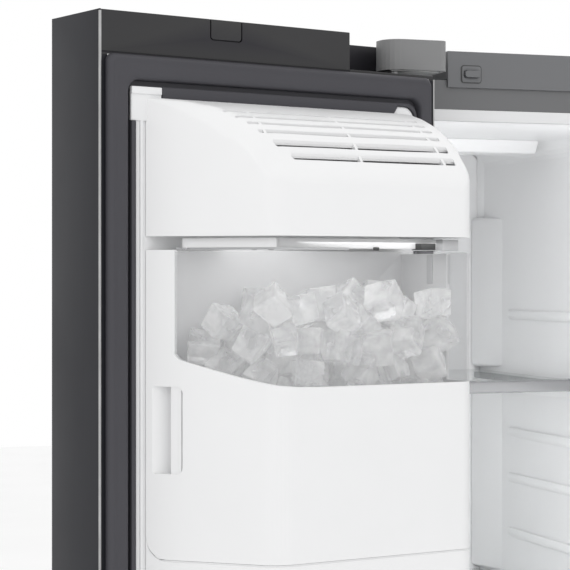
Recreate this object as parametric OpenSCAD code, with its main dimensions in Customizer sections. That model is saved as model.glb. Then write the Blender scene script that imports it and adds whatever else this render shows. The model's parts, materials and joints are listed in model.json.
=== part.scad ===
// Side by side refrigerator: freezer on the left, fresh food compartment on the right,
// with an ice maker, an ice bin and an ice dispenser in the freezer door.
// The front faces -Y. The origin is the underside of the front left levelling foot.

/* [Cabinet] */
// Width of the steel cabinet
cabinet_width = 913; // [880:1:940]
// Depth of the steel cabinet without its doors
cabinet_depth = 620; // [610:1:660]
// Height of the top of the steel case above the floor
case_top = 1750; // [1740:1:1780]
// Insulated wall between the steel case and a compartment
wall = 45; // [42:1:50]
// Clear width of the freezer compartment
freezer_width = 320; // [310:1:325]
// Clear depth of both compartments, from the front flange to the liner's back wall
compartment_depth = 560; // [550:1:565]

/* [Doors] */
// Width of the freezer door
freezer_door_width = 400; // [396:1:402]
// Thickness of a door from its skin to its inner face
door_thickness = 93; // [90:1:96]
// Air gap between a door's inner face and the cabinet front, filled by the gasket
door_gap = 12; // [12:0.5:13]
// Height of the top of the doors above the floor
door_top = 1780; // [1776:1:1790]
// Height of the underside of the doors above the floor
door_bottom = 55; // [55:1:58]
// How far the freezer door stands open at rest, in degrees
freezer_door_angle = 163.3; // [100:0.1:163.3]
// How far the fridge door stands open at rest, in degrees
fridge_door_angle = 125; // [115:1:150]

/* [Ice unit] */
// Height of the lower edge of the ice maker hood
hood_bottom = 1569; // [1567:1:1572]
// Height of the top of the ice bin
bin_top = 1558; // [1550:1:1560]
// Height of the lower edge of the ice bin window
window_bottom = 1434; // [1420:1:1450]
// Height of the underside of the ice bin
bin_bottom = 1274; // [1270:1:1280]

/* [Shelves] */
// Heights of the top faces of the freezer's glass shelves
freezer_shelves = [1405, 1130, 880, 640];
// Heights of the top faces of the fridge's glass shelves
fridge_shelves = [1440, 1190, 940, 700];
// Thickness of the shelf glass
glass_thickness = 4; // [3.2:0.2:5]

/* [Hidden] */
$fn = 48;

// Places of the cabinet's faces around the front left foot
foot_inset_x = 45;
foot_inset_y = 60;
left = -foot_inset_x;
right = left + cabinet_width;
front = -foot_inset_y;
back = front + cabinet_depth;
case_bottom = 60;

// Compartments
liner_thickness = 2.5;
lip_width = 13;
mullion = 78;
ceiling = case_top - wall;
floor_z = 110;
hump_front = 400;
hump_top = 330;
liner_radius = 22;
freezer_x0 = left + wall;
freezer_x1 = freezer_x0 + freezer_width;
fridge_x0 = freezer_x1 + mullion;
fridge_x1 = right - wall;

// Machine space behind and below the compartments
machine_front = front + 432;
machine_top = 290;
tray_z = 40;

// Hinges: the pivot of each door, measured from the cabinet's side and front
pivot_in = 19;
pivot_out = 58;
pin_radius = 5;
running_gap = 0.06;
freezer_pivot = [left + pivot_in, front - pivot_out];
fridge_pivot = [right - pivot_in, front - pivot_out];

// Door outline in the door's own frame: the pivot at the origin, the free edge at +X
// and the inner face at +Y
hinge_edge = -18;
inner_y = pivot_out - door_gap;
skin_y = inner_y - door_thickness;
cap_z = door_top - 40;
base_cap_z = door_bottom + 20;
fridge_door_width = cabinet_width - freezer_door_width - 8;
notch_length = 111;
notch_strip = 14;
skin_thickness = 1;
raised_y = inner_y + 6;
raised_low = 100;
raised_high = ceiling + 3.5;
gasket_y = inner_y + 11;

// Pocket handles in the doors' free front corners
handle_low = 760;
handle_high = 1120;
handle_width = 40;
handle_depth = 30;

// Ice dispenser in the freezer door
recess_x0 = 62;
recess_x1 = 302;
recess_low = 880;
recess_high = 1190;
recess_back = 18;
display_high = 1330;
chute_x0 = 150;
chute_x1 = 214;
chute_low = 1138;
chute_high = 1188;
paddle_pivot = [-8, 1172];

// Ice unit on the freezer door
base_bottom = 1136;
unit_back = raised_y + 1;
auger_place = [182, 106];
outlet_place = [245, 98];
ejector_pivot = [108, 1612];
maker_x0 = 50;
maker_x1 = 215;

// Rear rollers
roller_radius = 20;
roller_y = front + 560;
roller_x = [left + 40, right - 40];

// ---- helpers -------------------------------------------------------------

module block(low, high) translate(low) cube(high - low);

module slab_xy(outline, z0, z1) translate([0, 0, z0]) linear_extrude(z1 - z0) polygon(outline);

module slab_xz(outline, y0, y1)
    translate([0, y1, 0]) rotate([90, 0, 0]) linear_extrude(y1 - y0) polygon(outline);

module slab_yz(outline, x0, x1)
    translate([x0, 0, 0]) rotate([90, 0, 90]) linear_extrude(x1 - x0) polygon(outline);

module rod_x(x0, x1, y, z, r) translate([x0, y, z]) rotate([0, 90, 0]) cylinder(h = x1 - x0, r = r);

module rod_y(y0, y1, x, z, r) translate([x, y1, z]) rotate([90, 0, 0]) cylinder(h = y1 - y0, r = r);

module rod_z(z0, z1, x, y, r) translate([x, y, z0]) cylinder(h = z1 - z0, r = r);

function unit(v) = v / norm(v);

// The arc that rounds the corner b between a and c with radius r
function corner(a, b, c, r, steps) =
    let (
        u = unit(a - b),
        w = unit(c - b),
        half = acos(u * w) / 2,
        centre = b + unit(u + w) * (r / sin(half)),
        start = b + u * (r / tan(half)) - centre,
        end = b + w * (r / tan(half)) - centre,
        first = atan2(start[1], start[0]),
        turn = atan2(end[1], end[0]) - first,
        sweep = turn > 180 ? turn - 360 : turn < -180 ? turn + 360 : turn
    )
    [for (i = [0:steps]) centre + r * [cos(first + sweep * i / steps), sin(first + sweep * i / steps)]];

function rounded(points, radii, steps = 6) =
    let (n = len(points))
    [for (i = [0:n - 1]) each radii[i] == 0 ? [points[i]]
        : corner(points[(i + n - 1) % n], points[i], points[(i + 1) % n], radii[i], steps)];

function rectangle(x0, y0, x1, y1) = [[x0, y0], [x1, y0], [x1, y1], [x0, y1]];

function rounded_rectangle(x0, y0, x1, y1, r) = rounded(rectangle(x0, y0, x1, y1), [r, r, r, r]);

// A convex outline moved inwards by d
function inset(points, d) =
    let (n = len(points))
    [for (i = [0:n - 1])
        let (
            u = unit(points[(i + n - 1) % n] - points[i]),
            w = unit(points[(i + 1) % n] - points[i]),
            half = acos(u * w) / 2
        )
        points[i] + unit(u + w) * (d / sin(half))];

// An open-topped tub with an outline that is round at the corners
module tub(outline, radii, z0, z1, thickness) {
    inner = inset(outline, thickness);
    difference() {
        slab_xy(rounded(outline, radii), z0, z1);
        slab_xy(rounded(inner, [for (r = radii) max(r - thickness, 0)]), z0 + thickness, z1 + 1);
    }
}

// Puts a door piece, drawn closed in the door's own frame, where the freezer door stands
module on_freezer_door()
    translate([freezer_pivot[0], freezer_pivot[1], 0]) rotate([0, 0, -freezer_door_angle]) children();

// The same for the fridge door, which is the other hand
module on_fridge_door()
    translate([fridge_pivot[0], fridge_pivot[1], 0]) rotate([0, 0, fridge_door_angle])
        mirror([1, 0, 0]) children();

// ---- cabinet -------------------------------------------------------------

// The space of one compartment, grown outwards by the liner's thickness when it cuts the foam
module compartment(x0, x1, grow) {
    difference() {
        slab_xz(rounded_rectangle(x0 - grow, floor_z - grow, x1 + grow, ceiling + grow, liner_radius + grow),
            front - 5, front + compartment_depth + grow);
        block([x0 - grow - 1, front + hump_front + grow, floor_z - grow - 1],
            [x1 + grow + 1, front + compartment_depth + grow + 1, hump_top - grow]);
    }
}

module lip(x0, x1, y0, y1)
    slab_xz(rounded_rectangle(x0 - lip_width, floor_z - lip_width, x1 + lip_width, ceiling + lip_width, 30),
        y0, y1);

// Ledges moulded into both side walls under each shelf
module ledges(x0, x1, heights) {
    for (z = heights) {
        block([x0 - 1, front + 152, z - 24], [x0 + 9, front + 455, z - glass_thickness - 8.3]);
        block([x1 - 9, front + 152, z - 24], [x1 + 1, front + 455, z - glass_thickness - 8.3]);
    }
}

module liner(x0, x1, heights) {
    difference() {
        union() {
            compartment(x0, x1, liner_thickness);
            lip(x0, x1, front - 0.5, front + 2);
        }
        compartment(x0, x1, 0);
        block([x0 - 60, front - 6, floor_z - 60], [x1 + 60, front - 0.5, ceiling + 60]);
    }
    ledges(x0, x1, heights);
}

module outer_case() color("#8f8f92") {
    difference() {
        block([left, front, case_bottom], [right, back - 5, case_top]);
        block([left + 1, front + 1, case_bottom + 1], [right - 1, back, case_top - 1]);
        lip(freezer_x0, freezer_x1, front - 1, front + 2);
        lip(fridge_x0, fridge_x1, front - 1, front + 2);
        block([left + 1, machine_front, case_bottom - 1], [right - 1, back, case_bottom + 2]);
    }
}

module rear_panel() color("#b9babc")
    block([left, back - 5, machine_top - 10], [right, back - 4, case_top]);

module cabinet_foam() color("#efe3b4") {
    difference() {
        block([left + 1, front + 2, case_bottom + 1], [right - 1, back - 5, case_top - 1]);
        compartment(freezer_x0, freezer_x1, liner_thickness);
        compartment(fridge_x0, fridge_x1, liner_thickness);
        block([left, machine_front, case_bottom], [right, back, machine_top]);
    }
}

module freezer_liner() color("#f1f2f3") liner(freezer_x0, freezer_x1, freezer_shelves);

module fridge_liner() color("#f1f2f3") liner(fridge_x0, fridge_x1, fridge_shelves);

// Places of the switch windows along the cap strip, from the cabinet's side
switch_x = 135;
switch_z = 1757;

module top_cap_strip() color("#7d7c80") {
    x0 = left + 107;
    x1 = right - 107;
    low = case_top - 8;
    high = case_top + 32;
    difference() {
        slab_yz([[front - 3, low], [front, low], [front, case_top + 0.5], [front + 76, case_top + 0.5],
            [front + 70, high - 10], [front + 55, high], [front - 3, high]], x0, x1);
        block([x0 + 3, front, case_top - 1], [x1 - 3, front + 52, high - 3]);
        for (x = [left + switch_x, right - switch_x])
            block([x - 9.3, front - 4, switch_z - 4.2], [x + 9.3, front + 1, switch_z + 4.2]);
    }
}

// Plan outline of a hinge cover, measured from the pivot, with the waist that the door's
// front edge swings into
function cover_outline() =
    rounded([[-14, -17], [56, -17], [56, 58], [74, 66], [74, 140],
        [-14, 140], [-14, 64], [12, 58], [12, 26], [-14, 14]],
        [20, 8, 0, 0, 6, 6, 0, 6, 6, 4]);

module hinge_cover() {
    difference() {
        slab_xy(cover_outline(), case_top + 1, case_top + 33);
        slab_xy(rounded_rectangle(-9, -13, 52, 22, 8), case_top - 1, case_top + 30);
        block([16, 10, case_top - 1], [52, 66, case_top + 30]);
        block([-10, 66, case_top - 1], [70, 136, case_top + 30]);
    }
}

module on_left_pivot() translate([freezer_pivot[0], freezer_pivot[1], 0]) children();

module on_right_pivot() translate([fridge_pivot[0], fridge_pivot[1], 0]) mirror([1, 0, 0]) children();

module hinge_covers() color("#808083") {
    on_left_pivot() hinge_cover();
    on_right_pivot() hinge_cover();
}

// Steel plate screwed to the case top, with the pin that the door's top cap turns on
module upper_hinge() {
    difference() {
        union() {
            block([-8, 70, case_top], [68, 132, case_top + 4]);
            block([18, 20, case_top], [50, 72, case_top + 4]);
            slab_xy(rounded_rectangle(-8, -11, 50, 21, 6), case_top, case_top + 4);
        }
        for (x = [6, 54]) rod_z(case_top - 1, case_top + 5, x, 112, 3.2);
        rod_z(case_top - 1, case_top + 5, 54, 84, 3.2);
    }
    rod_z(cap_z - 18, case_top + 1, 0, 0, pin_radius);
}

module upper_hinges() color("#9a9ca0") {
    on_left_pivot() upper_hinge();
    on_right_pivot() upper_hinge();
}

// Steel angle on the front of the base frame, with the pin that carries the door
module lower_hinge() {
    block([-12, -14, door_bottom - 7], [30, pivot_out + 20, door_bottom - 3]);
    block([-12, pivot_out + 16, 30], [30, pivot_out + 20, door_bottom - 5]);
    rod_z(door_bottom - 4, base_cap_z - 3, 0, 0, pin_radius);
}

module lower_hinges() color("#6f7174") {
    on_left_pivot() lower_hinge();
    on_right_pivot() lower_hinge();
}

// Welded steel frame under the cabinet: front and side rails and the tray of the machine space
module base_frame() color("#55575a") {
    difference() {
        union() {
            block([left + 5, front + 20, 30], [right - 5, front + 100, case_bottom]);
            for (x = [left + 5, right - 45])
                block([x, front + 99, 30], [x + 40, machine_front + 4, case_bottom]);
            block([left + 5, machine_front, tray_z], [right - 5, back - 6, tray_z + 3]);
            block([left + 5, machine_front, tray_z], [right - 5, machine_front + 3, case_bottom]);
            for (x = roller_x, side = [-15, 12])
                slab_yz(rounded_rectangle(roller_y - 14, 10, roller_y + 14, tray_z + 1, 6),
                    x + side, x + side + 3);
        }
        block([left + 9, front + 24, 29], [right - 9, front + 30, case_bottom - 4]);
        rod_z(29, case_bottom + 1, 0, 0, pin_radius + running_gap);
        rod_z(29, case_bottom + 1, cabinet_width - 2 * foot_inset_x, 0, pin_radius + running_gap);
        for (x = roller_x) rod_x(x - 20, x + 20, roller_y, roller_radius, 4 + running_gap);
    }
}

module kick_grille() color("#4a4b4e") {
    x0 = left + 62;
    x1 = right - 62;
    difference() {
        union() {
            slab_xz(rounded_rectangle(x0, 8, x1, 50, 6), front - 12, front - 8);
            for (x = [x0 + 20, x1 - 32]) block([x, front - 9, 36], [x + 12, front + 20, 44]);
        }
        for (i = [0:31]) block([x0 + 24 + i * 23.5, front - 13, 16], [x0 + 36 + i * 23.5, front - 7, 32]);
    }
}

module machine_cover() color("#a8a9ac") {
    difference() {
        block([left + 4, back - 4, tray_z], [right - 4, back - 2, machine_top + 12]);
        for (i = [0:9], j = [0:4])
            block([left + 60 + i * 26, back - 5, 80 + j * 30], [left + 78 + i * 26, back, 92 + j * 30]);
        for (i = [0:7], j = [0:2])
            block([left + 560 + i * 26, back - 5, 110 + j * 30], [left + 578 + i * 26, back, 122 + j * 30]);
        rod_y(back - 5, back, left + 860, 120, stub_radius + 11);
        block([left + 806, back - 5, 196], [left + 842, back, 232]);
    }
}

compressor_x = left + 690;
compressor_y = front + 524;

module compressor() color("#2b2c2e") {
    translate([compressor_x, compressor_y, 0]) {
        rotate_extrude($fn = 64)
            polygon(rounded(
                [[0, 62], [66, 62], [66, 128], [70, 128], [70, 134], [66, 134], [66, 206], [0, 206]],
                [0, 24, 0, 0, 0, 0, 34, 0]));
        difference() {
            slab_xy(rounded_rectangle(-92, -58, 92, 58, 14), 56, 66);
            for (x = [-80, 80], y = [-44, 44]) rod_z(50, 70, x, y, 5);
        }
        for (x = [-80, 80], y = [-44, 44]) {
            rod_z(tray_z + 3, 56, x, y, 9);
        }
        block([60, -28, 96], [88, 28, 160]);
        rod_z(190, 236, -30, 20, 5);
        rod_z(190, 226, 24, -30, 3.5);
    }
}

// Fin and tube block that gives off the heat, standing in the machine space
module condenser() color("#303134") {
    x0 = left + 50;
    length = 250;
    for (i = [0:9]) block([x0 + i * 26, machine_front + 20, 52], [x0 + i * 26 + 1.5, back - 30, 220]);
    for (i = [0:2], j = [0:3])
        rod_x(x0 - 12, x0 + length, machine_front + 45 + i * 42, 75 + j * 42, 5);
    for (x = [x0, x0 + 234]) block([x, machine_front + 20, tray_z + 3], [x + 1.5, back - 30, 60]);
    for (i = [0:2])
        block([x0 - 12, machine_front + 40 + i * 42, 70], [x0 - 4, machine_front + 50 + i * 42, 206]);
}

condenser_fan_x = left + 360;
condenser_fan_y = front + 522;
condenser_fan_z = 136;

// Four or more pitched blades on a hub that turns about X, drawn around the origin
module fan_wheel(blades, tip, hub, width) {
    difference() {
        rod_x(-width / 2, width / 2, 0, 0, hub);
        rod_x(-width / 2 - 1, -width / 2 + 10, 0, 0, 4 + running_gap);
    }
    for (i = [0:blades - 1]) rotate([i * 360 / blades, 0, 0])
        translate([0, 0, hub - 1]) rotate([0, 0, 28]) block([-0.9, -16, 0], [0.9, 16, tip - hub + 1]);
}

module condenser_fan() color("#3d3e41")
    translate([condenser_fan_x, condenser_fan_y, condenser_fan_z]) fan_wheel(5, 66, 20, 18);

// Plate with a round throat, and the motor on two arms behind it
module fan_shroud() color("#5a5b5e") {
    x = condenser_fan_x;
    difference() {
        block([x - 3, machine_front + 6, tray_z + 3], [x + 3, back - 10, machine_top - 8]);
        rod_x(x - 10, x + 10, condenser_fan_y, condenser_fan_z, 72);
    }
    rod_x(x - 46, x - 14, condenser_fan_y, condenser_fan_z, 18);
    rod_x(x - 15, x - 4, condenser_fan_y, condenser_fan_z, 4);
    for (side = [-1, 1])
        block([x - 42, condenser_fan_y - 4 + side * 82, condenser_fan_z - 5],
            [x - 2, condenser_fan_y + 4 + side * 82, condenser_fan_z + 5]);
    block([x - 42, condenser_fan_y - 84, condenser_fan_z - 5],
        [x - 38, condenser_fan_y + 84, condenser_fan_z + 5]);
}

// Fin and tube block behind the freezer's back cover
evaporator_front = front + 478;

module evaporator() color("#b7bbbf") {
    x0 = freezer_x0 + 14;
    for (i = [0:12])
        block([x0 + 12 + i * 22, evaporator_front + 4, 760], [x0 + 13.2 + i * 22, evaporator_front + 62, 1100]);
    for (i = [0:1], j = [0:6])
        rod_x(x0, x0 + 292, evaporator_front + 18 + i * 30, 785 + j * 48, 4);
    for (x = [x0, x0 + 290]) block([x, evaporator_front + 2, 750], [x + 2, evaporator_front + 79.5, 1110]);
}

cover_y = front + 463;
evaporator_fan_x = (freezer_x0 + freezer_x1) / 2;
evaporator_fan_y = cover_y + 40;
evaporator_fan_z = 1300;

// White panel that closes off the evaporator, with air slots and the fan's motor arms
module evaporator_cover() color("#f1f2f3") {
    difference() {
        union() {
            slab_xz(rounded_rectangle(freezer_x0 + 1, hump_top + 1, freezer_x1 - 1, ceiling - 1, liner_radius),
                cover_y, cover_y + 3);
            slab_xz(rounded_rectangle(freezer_x0 + 50, 1480, freezer_x1 - 50, 1640, 16),
                cover_y - 7, cover_y + 1);
        }
        for (i = [0:5])
            block([freezer_x0 + 70, cover_y - 8, 1500 + i * 22], [freezer_x1 - 70, cover_y + 4, 1508 + i * 22]);
        for (z = [1180, 930]) for (i = [0:5])
            block([freezer_x0 + 50 + i * 38, cover_y - 1, z], [freezer_x0 + 80 + i * 38, cover_y + 4, z + 10]);
        for (i = [0:7])
            block([freezer_x0 + 40 + i * 31, cover_y - 1, 345], [freezer_x0 + 62 + i * 31, cover_y + 4, 385]);
    }
    difference() {
        rod_y(cover_y + 2, cover_y + 22, evaporator_fan_x, evaporator_fan_z, 20);
        rod_y(cover_y + 1, cover_y + 18, evaporator_fan_x, evaporator_fan_z, 17);
    }
    rod_y(cover_y + 20, cover_y + 38, evaporator_fan_x, evaporator_fan_z, 4);
}

module evaporator_fan() color("#d8dadc")
    translate([evaporator_fan_x, evaporator_fan_y, evaporator_fan_z]) rotate([0, 0, 90])
        fan_wheel(4, 62, 18, 16);

// Air duct on the fridge's back wall, a tower with slots in its front
module air_tower() color("#eceded") {
    x0 = (fridge_x0 + fridge_x1) / 2 - 70;
    x1 = x0 + 140;
    y0 = front + 528;
    y1 = front + compartment_depth;
    difference() {
        slab_xy(rounded([[x0, y1], [x0 + 10, y0], [x1 - 10, y0], [x1, y1]], [0, 12, 12, 0]), 720, 1690);
        block([x0 + 14, y0 + 3, 724], [x1 - 14, y1 + 1, 1686]);
        for (i = [0:12]) block([x0 + 40, y0 - 1, 800 + i * 66], [x1 - 40, y0 + 4, 810 + i * 66]);
    }
}

// Lamp housings across both ceilings
module lamp_covers() color("#f7f8f6") {
    for (span = [[freezer_x0 + 3, freezer_x1 - 3], [fridge_x0 + 60, fridge_x1 - 60]])
        slab_yz(rounded([[front + 240, ceiling], [front + 250, ceiling - 16],
            [front + 300, ceiling - 16], [front + 330, ceiling]],
            [0, 5, 5, 0]), span[0] + 20, span[1] - 20);
}

shelf_front = front + 150;
shelf_back = front + 455;

module shelf_glass() color("#c9dcd8", 0.5) {
    for (z = freezer_shelves)
        block([freezer_x0 + 6, shelf_front + 10, z - glass_thickness], [freezer_x1 - 6, shelf_back, z]);
    for (z = fridge_shelves)
        block([fridge_x0 + 6, shelf_front + 10, z - glass_thickness], [fridge_x1 - 6, shelf_back + 40, z]);
}

// Moulded frame round each pane: a front bar that overlaps the glass edge and two side bars under it
module shelf_trim(x0, x1, z, depth) {
    under = z - glass_thickness;
    difference() {
        slab_yz(rounded(rectangle(shelf_front, under - 8, shelf_front + 22, z + 2.5), [3, 0, 2, 3]),
            x0 + 3, x1 - 3);
        block([x0 + 6, shelf_front + 10, under], [x1 - 6, shelf_front + 30, z]);
    }
    for (x = [x0 + 3, x1 - 13]) block([x, shelf_front + 20, under - 8], [x + 10, depth, under]);
}

module shelf_trims() color("#e4e6e7") {
    for (z = freezer_shelves) shelf_trim(freezer_x0, freezer_x1, z, shelf_back);
    for (z = fridge_shelves) shelf_trim(fridge_x0, fridge_x1, z, shelf_back);
}

// Mains inlet in the machine cover: a socket shroud with three contact pins
module power_inlet() color("#1c1c1e") {
    x = left + 824;
    difference() {
        union() {
            block([x - 17.8, back - 26, 196.2], [x + 17.8, back - 2, 231.8]);
            block([x - 24, back - 2, 190], [x + 24, back, 238]);
        }
        block([x - 12, back - 20, 203], [x + 12, back + 1, 225]);
    }
    for (place = [[-7, 210], [7, 210], [0, 219]])
        block([x + place[0] - 1, back - 21, place[1] - 2.5], [x + place[0] + 1, back - 4, place[1] + 2.5]);
}

// Outer radius of the three-quarter inch water connection
stub_radius = 13.2;

// Water inlet valve: a solenoid block with the threaded stub that the house supply screws onto
module water_valve() color("#e6e6e2") {
    x = left + 860;
    block([x - 18, back - 60, 96], [x + 18, back - 16, 150]);
    rod_z(150, 176, x, back - 38, 14);
    rod_y(back - 16, back + 14, x, 120, stub_radius);
    block([x - 14, back - 50, tray_z + 3], [x + 14, back - 30, 96]);
}

// ---- pieces that move in the cabinet -------------------------------------

module switch_button(x) {
    slab_xz(rounded_rectangle(x - 8.8, switch_z - 3.7, x + 8.8, switch_z + 3.7, 3), front - 8, front + 6);
    block([x - 12, front + 3, switch_z - 6], [x + 12, front + 8, switch_z + 6]);
}

module left_switch_button() color("#6b6a6e") switch_button(left + switch_x);

module right_switch_button() color("#6b6a6e") switch_button(right - switch_x);

// A drawer: a tub with a thick front that carries a finger grip along its top edge
module drawer(x0, x1, y0, y1, z0, z1) {
    tub(rectangle(x0, y0 + 8, x1, y1), [12, 12, 16, 16], z0, z1 - 14, 2.5);
    difference() {
        slab_xz(rounded_rectangle(x0 - 3, z0 - 2, x1 + 3, z1, 10), y0, y0 + 9);
        block([x0 + 40, y0 - 1, z1 - 16], [x1 - 40, y0 + 5, z1 + 1]);
    }
}

basket_y = front + 118;

module freezer_basket_upper() color("#e9edef", 0.8)
    drawer(freezer_x0 + 13, freezer_x1 - 13, basket_y, shelf_back, 396, 600);

module freezer_basket_lower() color("#e9edef", 0.8)
    drawer(freezer_x0 + 13, freezer_x1 - 13, basket_y, front + hump_front - 12, 122, 376);

crisper_y = front + 140;

module crisper_upper() color("#e9edef", 0.8)
    drawer(fridge_x0 + 13, fridge_x1 - 13, crisper_y, shelf_back + 30, 400, 664);

module crisper_lower() color("#e9edef", 0.8)
    drawer(fridge_x0 + 13, fridge_x1 - 13, crisper_y, front + hump_front - 12, 122, 380);

// A roller and its stub axles, turned from one piece
module roller(x) {
    rod_x(x - 11, x + 11, roller_y, roller_radius, roller_radius);
    rod_x(x - 17, x + 17, roller_y, roller_radius, 4);
}

module left_roller() color("#2f3032") roller(roller_x[0]);

module right_roller() color("#2f3032") roller(roller_x[1]);

// Levelling foot: a pad, a hexagon for the spanner and the screw that runs in the base frame
module foot(x) {
    translate([x, 0, 0]) {
        rotate_extrude() polygon([[0, 0], [16, 0], [18, 2], [18, 7], [8, 10], [0, 10]]);
        cylinder(h = 20, r = 9.5, $fn = 6);
        cylinder(h = case_bottom - 4, r = pin_radius);
    }
}

module left_foot() color("#3a3b3d") foot(0);

module right_foot() color("#3a3b3d") foot(cabinet_width - 2 * foot_inset_x);

// ---- doors, drawn closed in their own frame ------------------------------

// Recess of the pocket handle, with the part behind the front skin for the finger tips
module handle_space(free, margin) {
    block([free - handle_width + margin, skin_y - 1, handle_low + margin],
        [free + 1, skin_y + handle_depth - margin, handle_high - margin]);
    block([free - handle_width - 16 + margin, skin_y + 3 + margin, handle_low + 10 + margin],
        [free - handle_width + margin + 1, skin_y + handle_depth - margin, handle_high - 10 - margin]);
}

module door_skin(width) {
    free = width + hinge_edge;
    t = skin_thickness;
    difference() {
        union() {
            difference() {
                block([hinge_edge, skin_y, door_bottom], [free, inner_y, door_top]);
                block([hinge_edge + t, skin_y + t, door_bottom - 1], [free - t, inner_y + 1, door_top + 1]);
            }
            for (x = [hinge_edge + 0.5, free - 4.5])
                block([x, inner_y - t, base_cap_z + 1], [x + 4, inner_y, cap_z - 1]);
        }
        block([hinge_edge - 1, skin_y + notch_strip, cap_z], [hinge_edge + 2, inner_y + 1, door_top + 1]);
        block([free - handle_width, skin_y - 1, handle_low], [free + 1, skin_y + handle_depth, handle_high]);
    }
}

// Foam behind the raised field of a door's liner
module raised_core(free, y0)
    slab_xz(
        rounded_rectangle(15.5, raised_low + liner_thickness, free - 33.5, raised_high - liner_thickness, 11.5),
        y0, raised_y - liner_thickness);

module door_foam(width) {
    free = width + hinge_edge;
    difference() {
        union() {
            block([hinge_edge + 1, skin_y + 1, base_cap_z], [free - 1, inner_y - liner_thickness, cap_z]);
            raised_core(free, inner_y - 3);
        }
        handle_space(free, 0);
        block([hinge_edge, skin_y + 6, cap_z - 22], [62, inner_y, cap_z + 1]);
    }
}

// Moulded top and bottom caps; the hinge ends hold the pins
module door_caps(width) {
    free = width + hinge_edge;
    bore = pin_radius + running_gap;
    difference() {
        union() {
            difference() {
                block([hinge_edge + 1, skin_y + 1, cap_z], [free - 1, inner_y, door_top]);
                block([hinge_edge, skin_y + notch_strip, cap_z - 1],
                    [hinge_edge + notch_length, inner_y + 1, door_top + 1]);
                block([hinge_edge + notch_length + 3, skin_y + 4, cap_z - 1],
                    [free - 4, inner_y - 3, door_top - 3]);
            }
            block([hinge_edge + 1, skin_y + 6, cap_z - 22], [62, inner_y - liner_thickness, cap_z]);
            block([60, skin_y + notch_strip, cap_z], [hinge_edge + notch_length + 1, inner_y, cap_z + 3]);
            block([hinge_edge + 1, skin_y + notch_strip - 1, cap_z - 1], [62, inner_y, cap_z + 3]);
        }
        rod_z(cap_z - 20, cap_z + 4, 0, 0, bore);
    }
    difference() {
        block([hinge_edge + 1, skin_y + 1, door_bottom], [free - 1, inner_y, base_cap_z]);
        block([60, skin_y + 4, door_bottom + 5], [free - 4, inner_y - 3, base_cap_z + 1]);
        rod_z(door_bottom - 1, base_cap_z - 1, 0, 0, bore);
    }
}

// White inner liner: a flange under the gasket, a raised field and two ridges that hold the bins
module door_liner(width, ridge_high) {
    free = width + hinge_edge;
    difference() {
        union() {
            slab_xz(rectangle(hinge_edge + 8, base_cap_z + 1, free - 8, cap_z - 1),
                inner_y - liner_thickness, inner_y);
            slab_xz(rounded_rectangle(13, raised_low, free - 31, raised_high, 14), inner_y - 1, raised_y);
        }
        raised_core(free, inner_y - 5);
    }
    for (x = [30, free - 64])
        slab_yz(rounded([[raised_y - 1, 130], [raised_y + 34, 150],
            [raised_y + 34, ridge_high - 20], [raised_y - 1, ridge_high]], [0, 10, 10, 0]), x, x + 12);
}

module door_gasket(width) {
    free = width + hinge_edge;
    difference() {
        union() {
            slab_xz(rounded_rectangle(-8, 82, free - 6, door_top - 45, 8), inner_y, inner_y + 7);
            slab_xz(rounded_rectangle(-5, 85, free - 9, door_top - 48, 6), inner_y + 6, gasket_y);
        }
        slab_xz(rounded_rectangle(13, raised_low, free - 31, raised_high, 14), inner_y - 1, gasket_y + 1);
        slab_xz(rounded_rectangle(4, 91, free - 22, door_top - 57, 8), inner_y + 8, gasket_y + 1);
    }
}

module door_handle(width) {
    free = width + hinge_edge;
    difference() {
        intersection() {
            handle_space(free, 0);
            block([0, skin_y, 0], [free, inner_y, door_top]);
        }
        handle_space(free, 2);
    }
}

// Door bins: tubs that hang between the ridges, with the free side cut back for the swing
module door_bins(width, heights, depth, tall) {
    free = width + hinge_edge;
    y0 = raised_y + 0.5;
    outline = [[43, y0], [free - 65, y0], [free - 65, y0 + 40], [free - 92, y0 + depth],
        [52, y0 + depth], [43, y0 + depth - 12]];
    for (z = heights) tub(outline, [4, 4, 20, 24, 20, 10], z, z + tall, 2.5);
}

module freezer_door_skin() color("#404246") on_freezer_door() difference() {
    door_skin(freezer_door_width);
    block([recess_x0, skin_y - 1, recess_low], [recess_x1, skin_y + 2, display_high]);
}

module freezer_door_foam() color("#efe3b4") on_freezer_door() difference() {
    door_foam(freezer_door_width);
    block([recess_x0, skin_y - 1, recess_low], [recess_x1, recess_back, recess_high]);
    block([recess_x0, skin_y - 1, recess_high - 1], [recess_x1, skin_y + 5, display_high]);
    block([chute_x0, recess_back - 1, chute_low], [chute_x1, raised_y + 1, chute_high]);
}

module freezer_door_caps() color("#3e3d42") on_freezer_door() door_caps(freezer_door_width);

module freezer_door_liner() color("#f4f5f6") on_freezer_door() difference() {
    door_liner(freezer_door_width, 1120);
    block([chute_x0, recess_back, chute_low], [chute_x1, raised_y + 1, chute_high]);
}

module freezer_door_gasket() color("#58575c") on_freezer_door() door_gasket(freezer_door_width);

module freezer_door_handle() color("#2d2e31") on_freezer_door() door_handle(freezer_door_width);

module freezer_door_bins() color("#e9edef", 0.8)
    on_freezer_door() door_bins(freezer_door_width, [930, 640, 350, 140], 92, 130);

module fridge_door_skin() color("#404246") on_fridge_door() door_skin(fridge_door_width);

module fridge_door_foam() color("#efe3b4") on_fridge_door() door_foam(fridge_door_width);

module fridge_door_caps() color("#3e3d42") on_fridge_door() door_caps(fridge_door_width);

// The fridge door's liner also carries the dairy compartment, a shelf with cheeks
dairy_low = 1440;
dairy_high = 1600;
dairy_depth = 110;
lid_hinge = [raised_y + 46, dairy_high - 12];
lid_rod_radius = 2.5;

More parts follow.
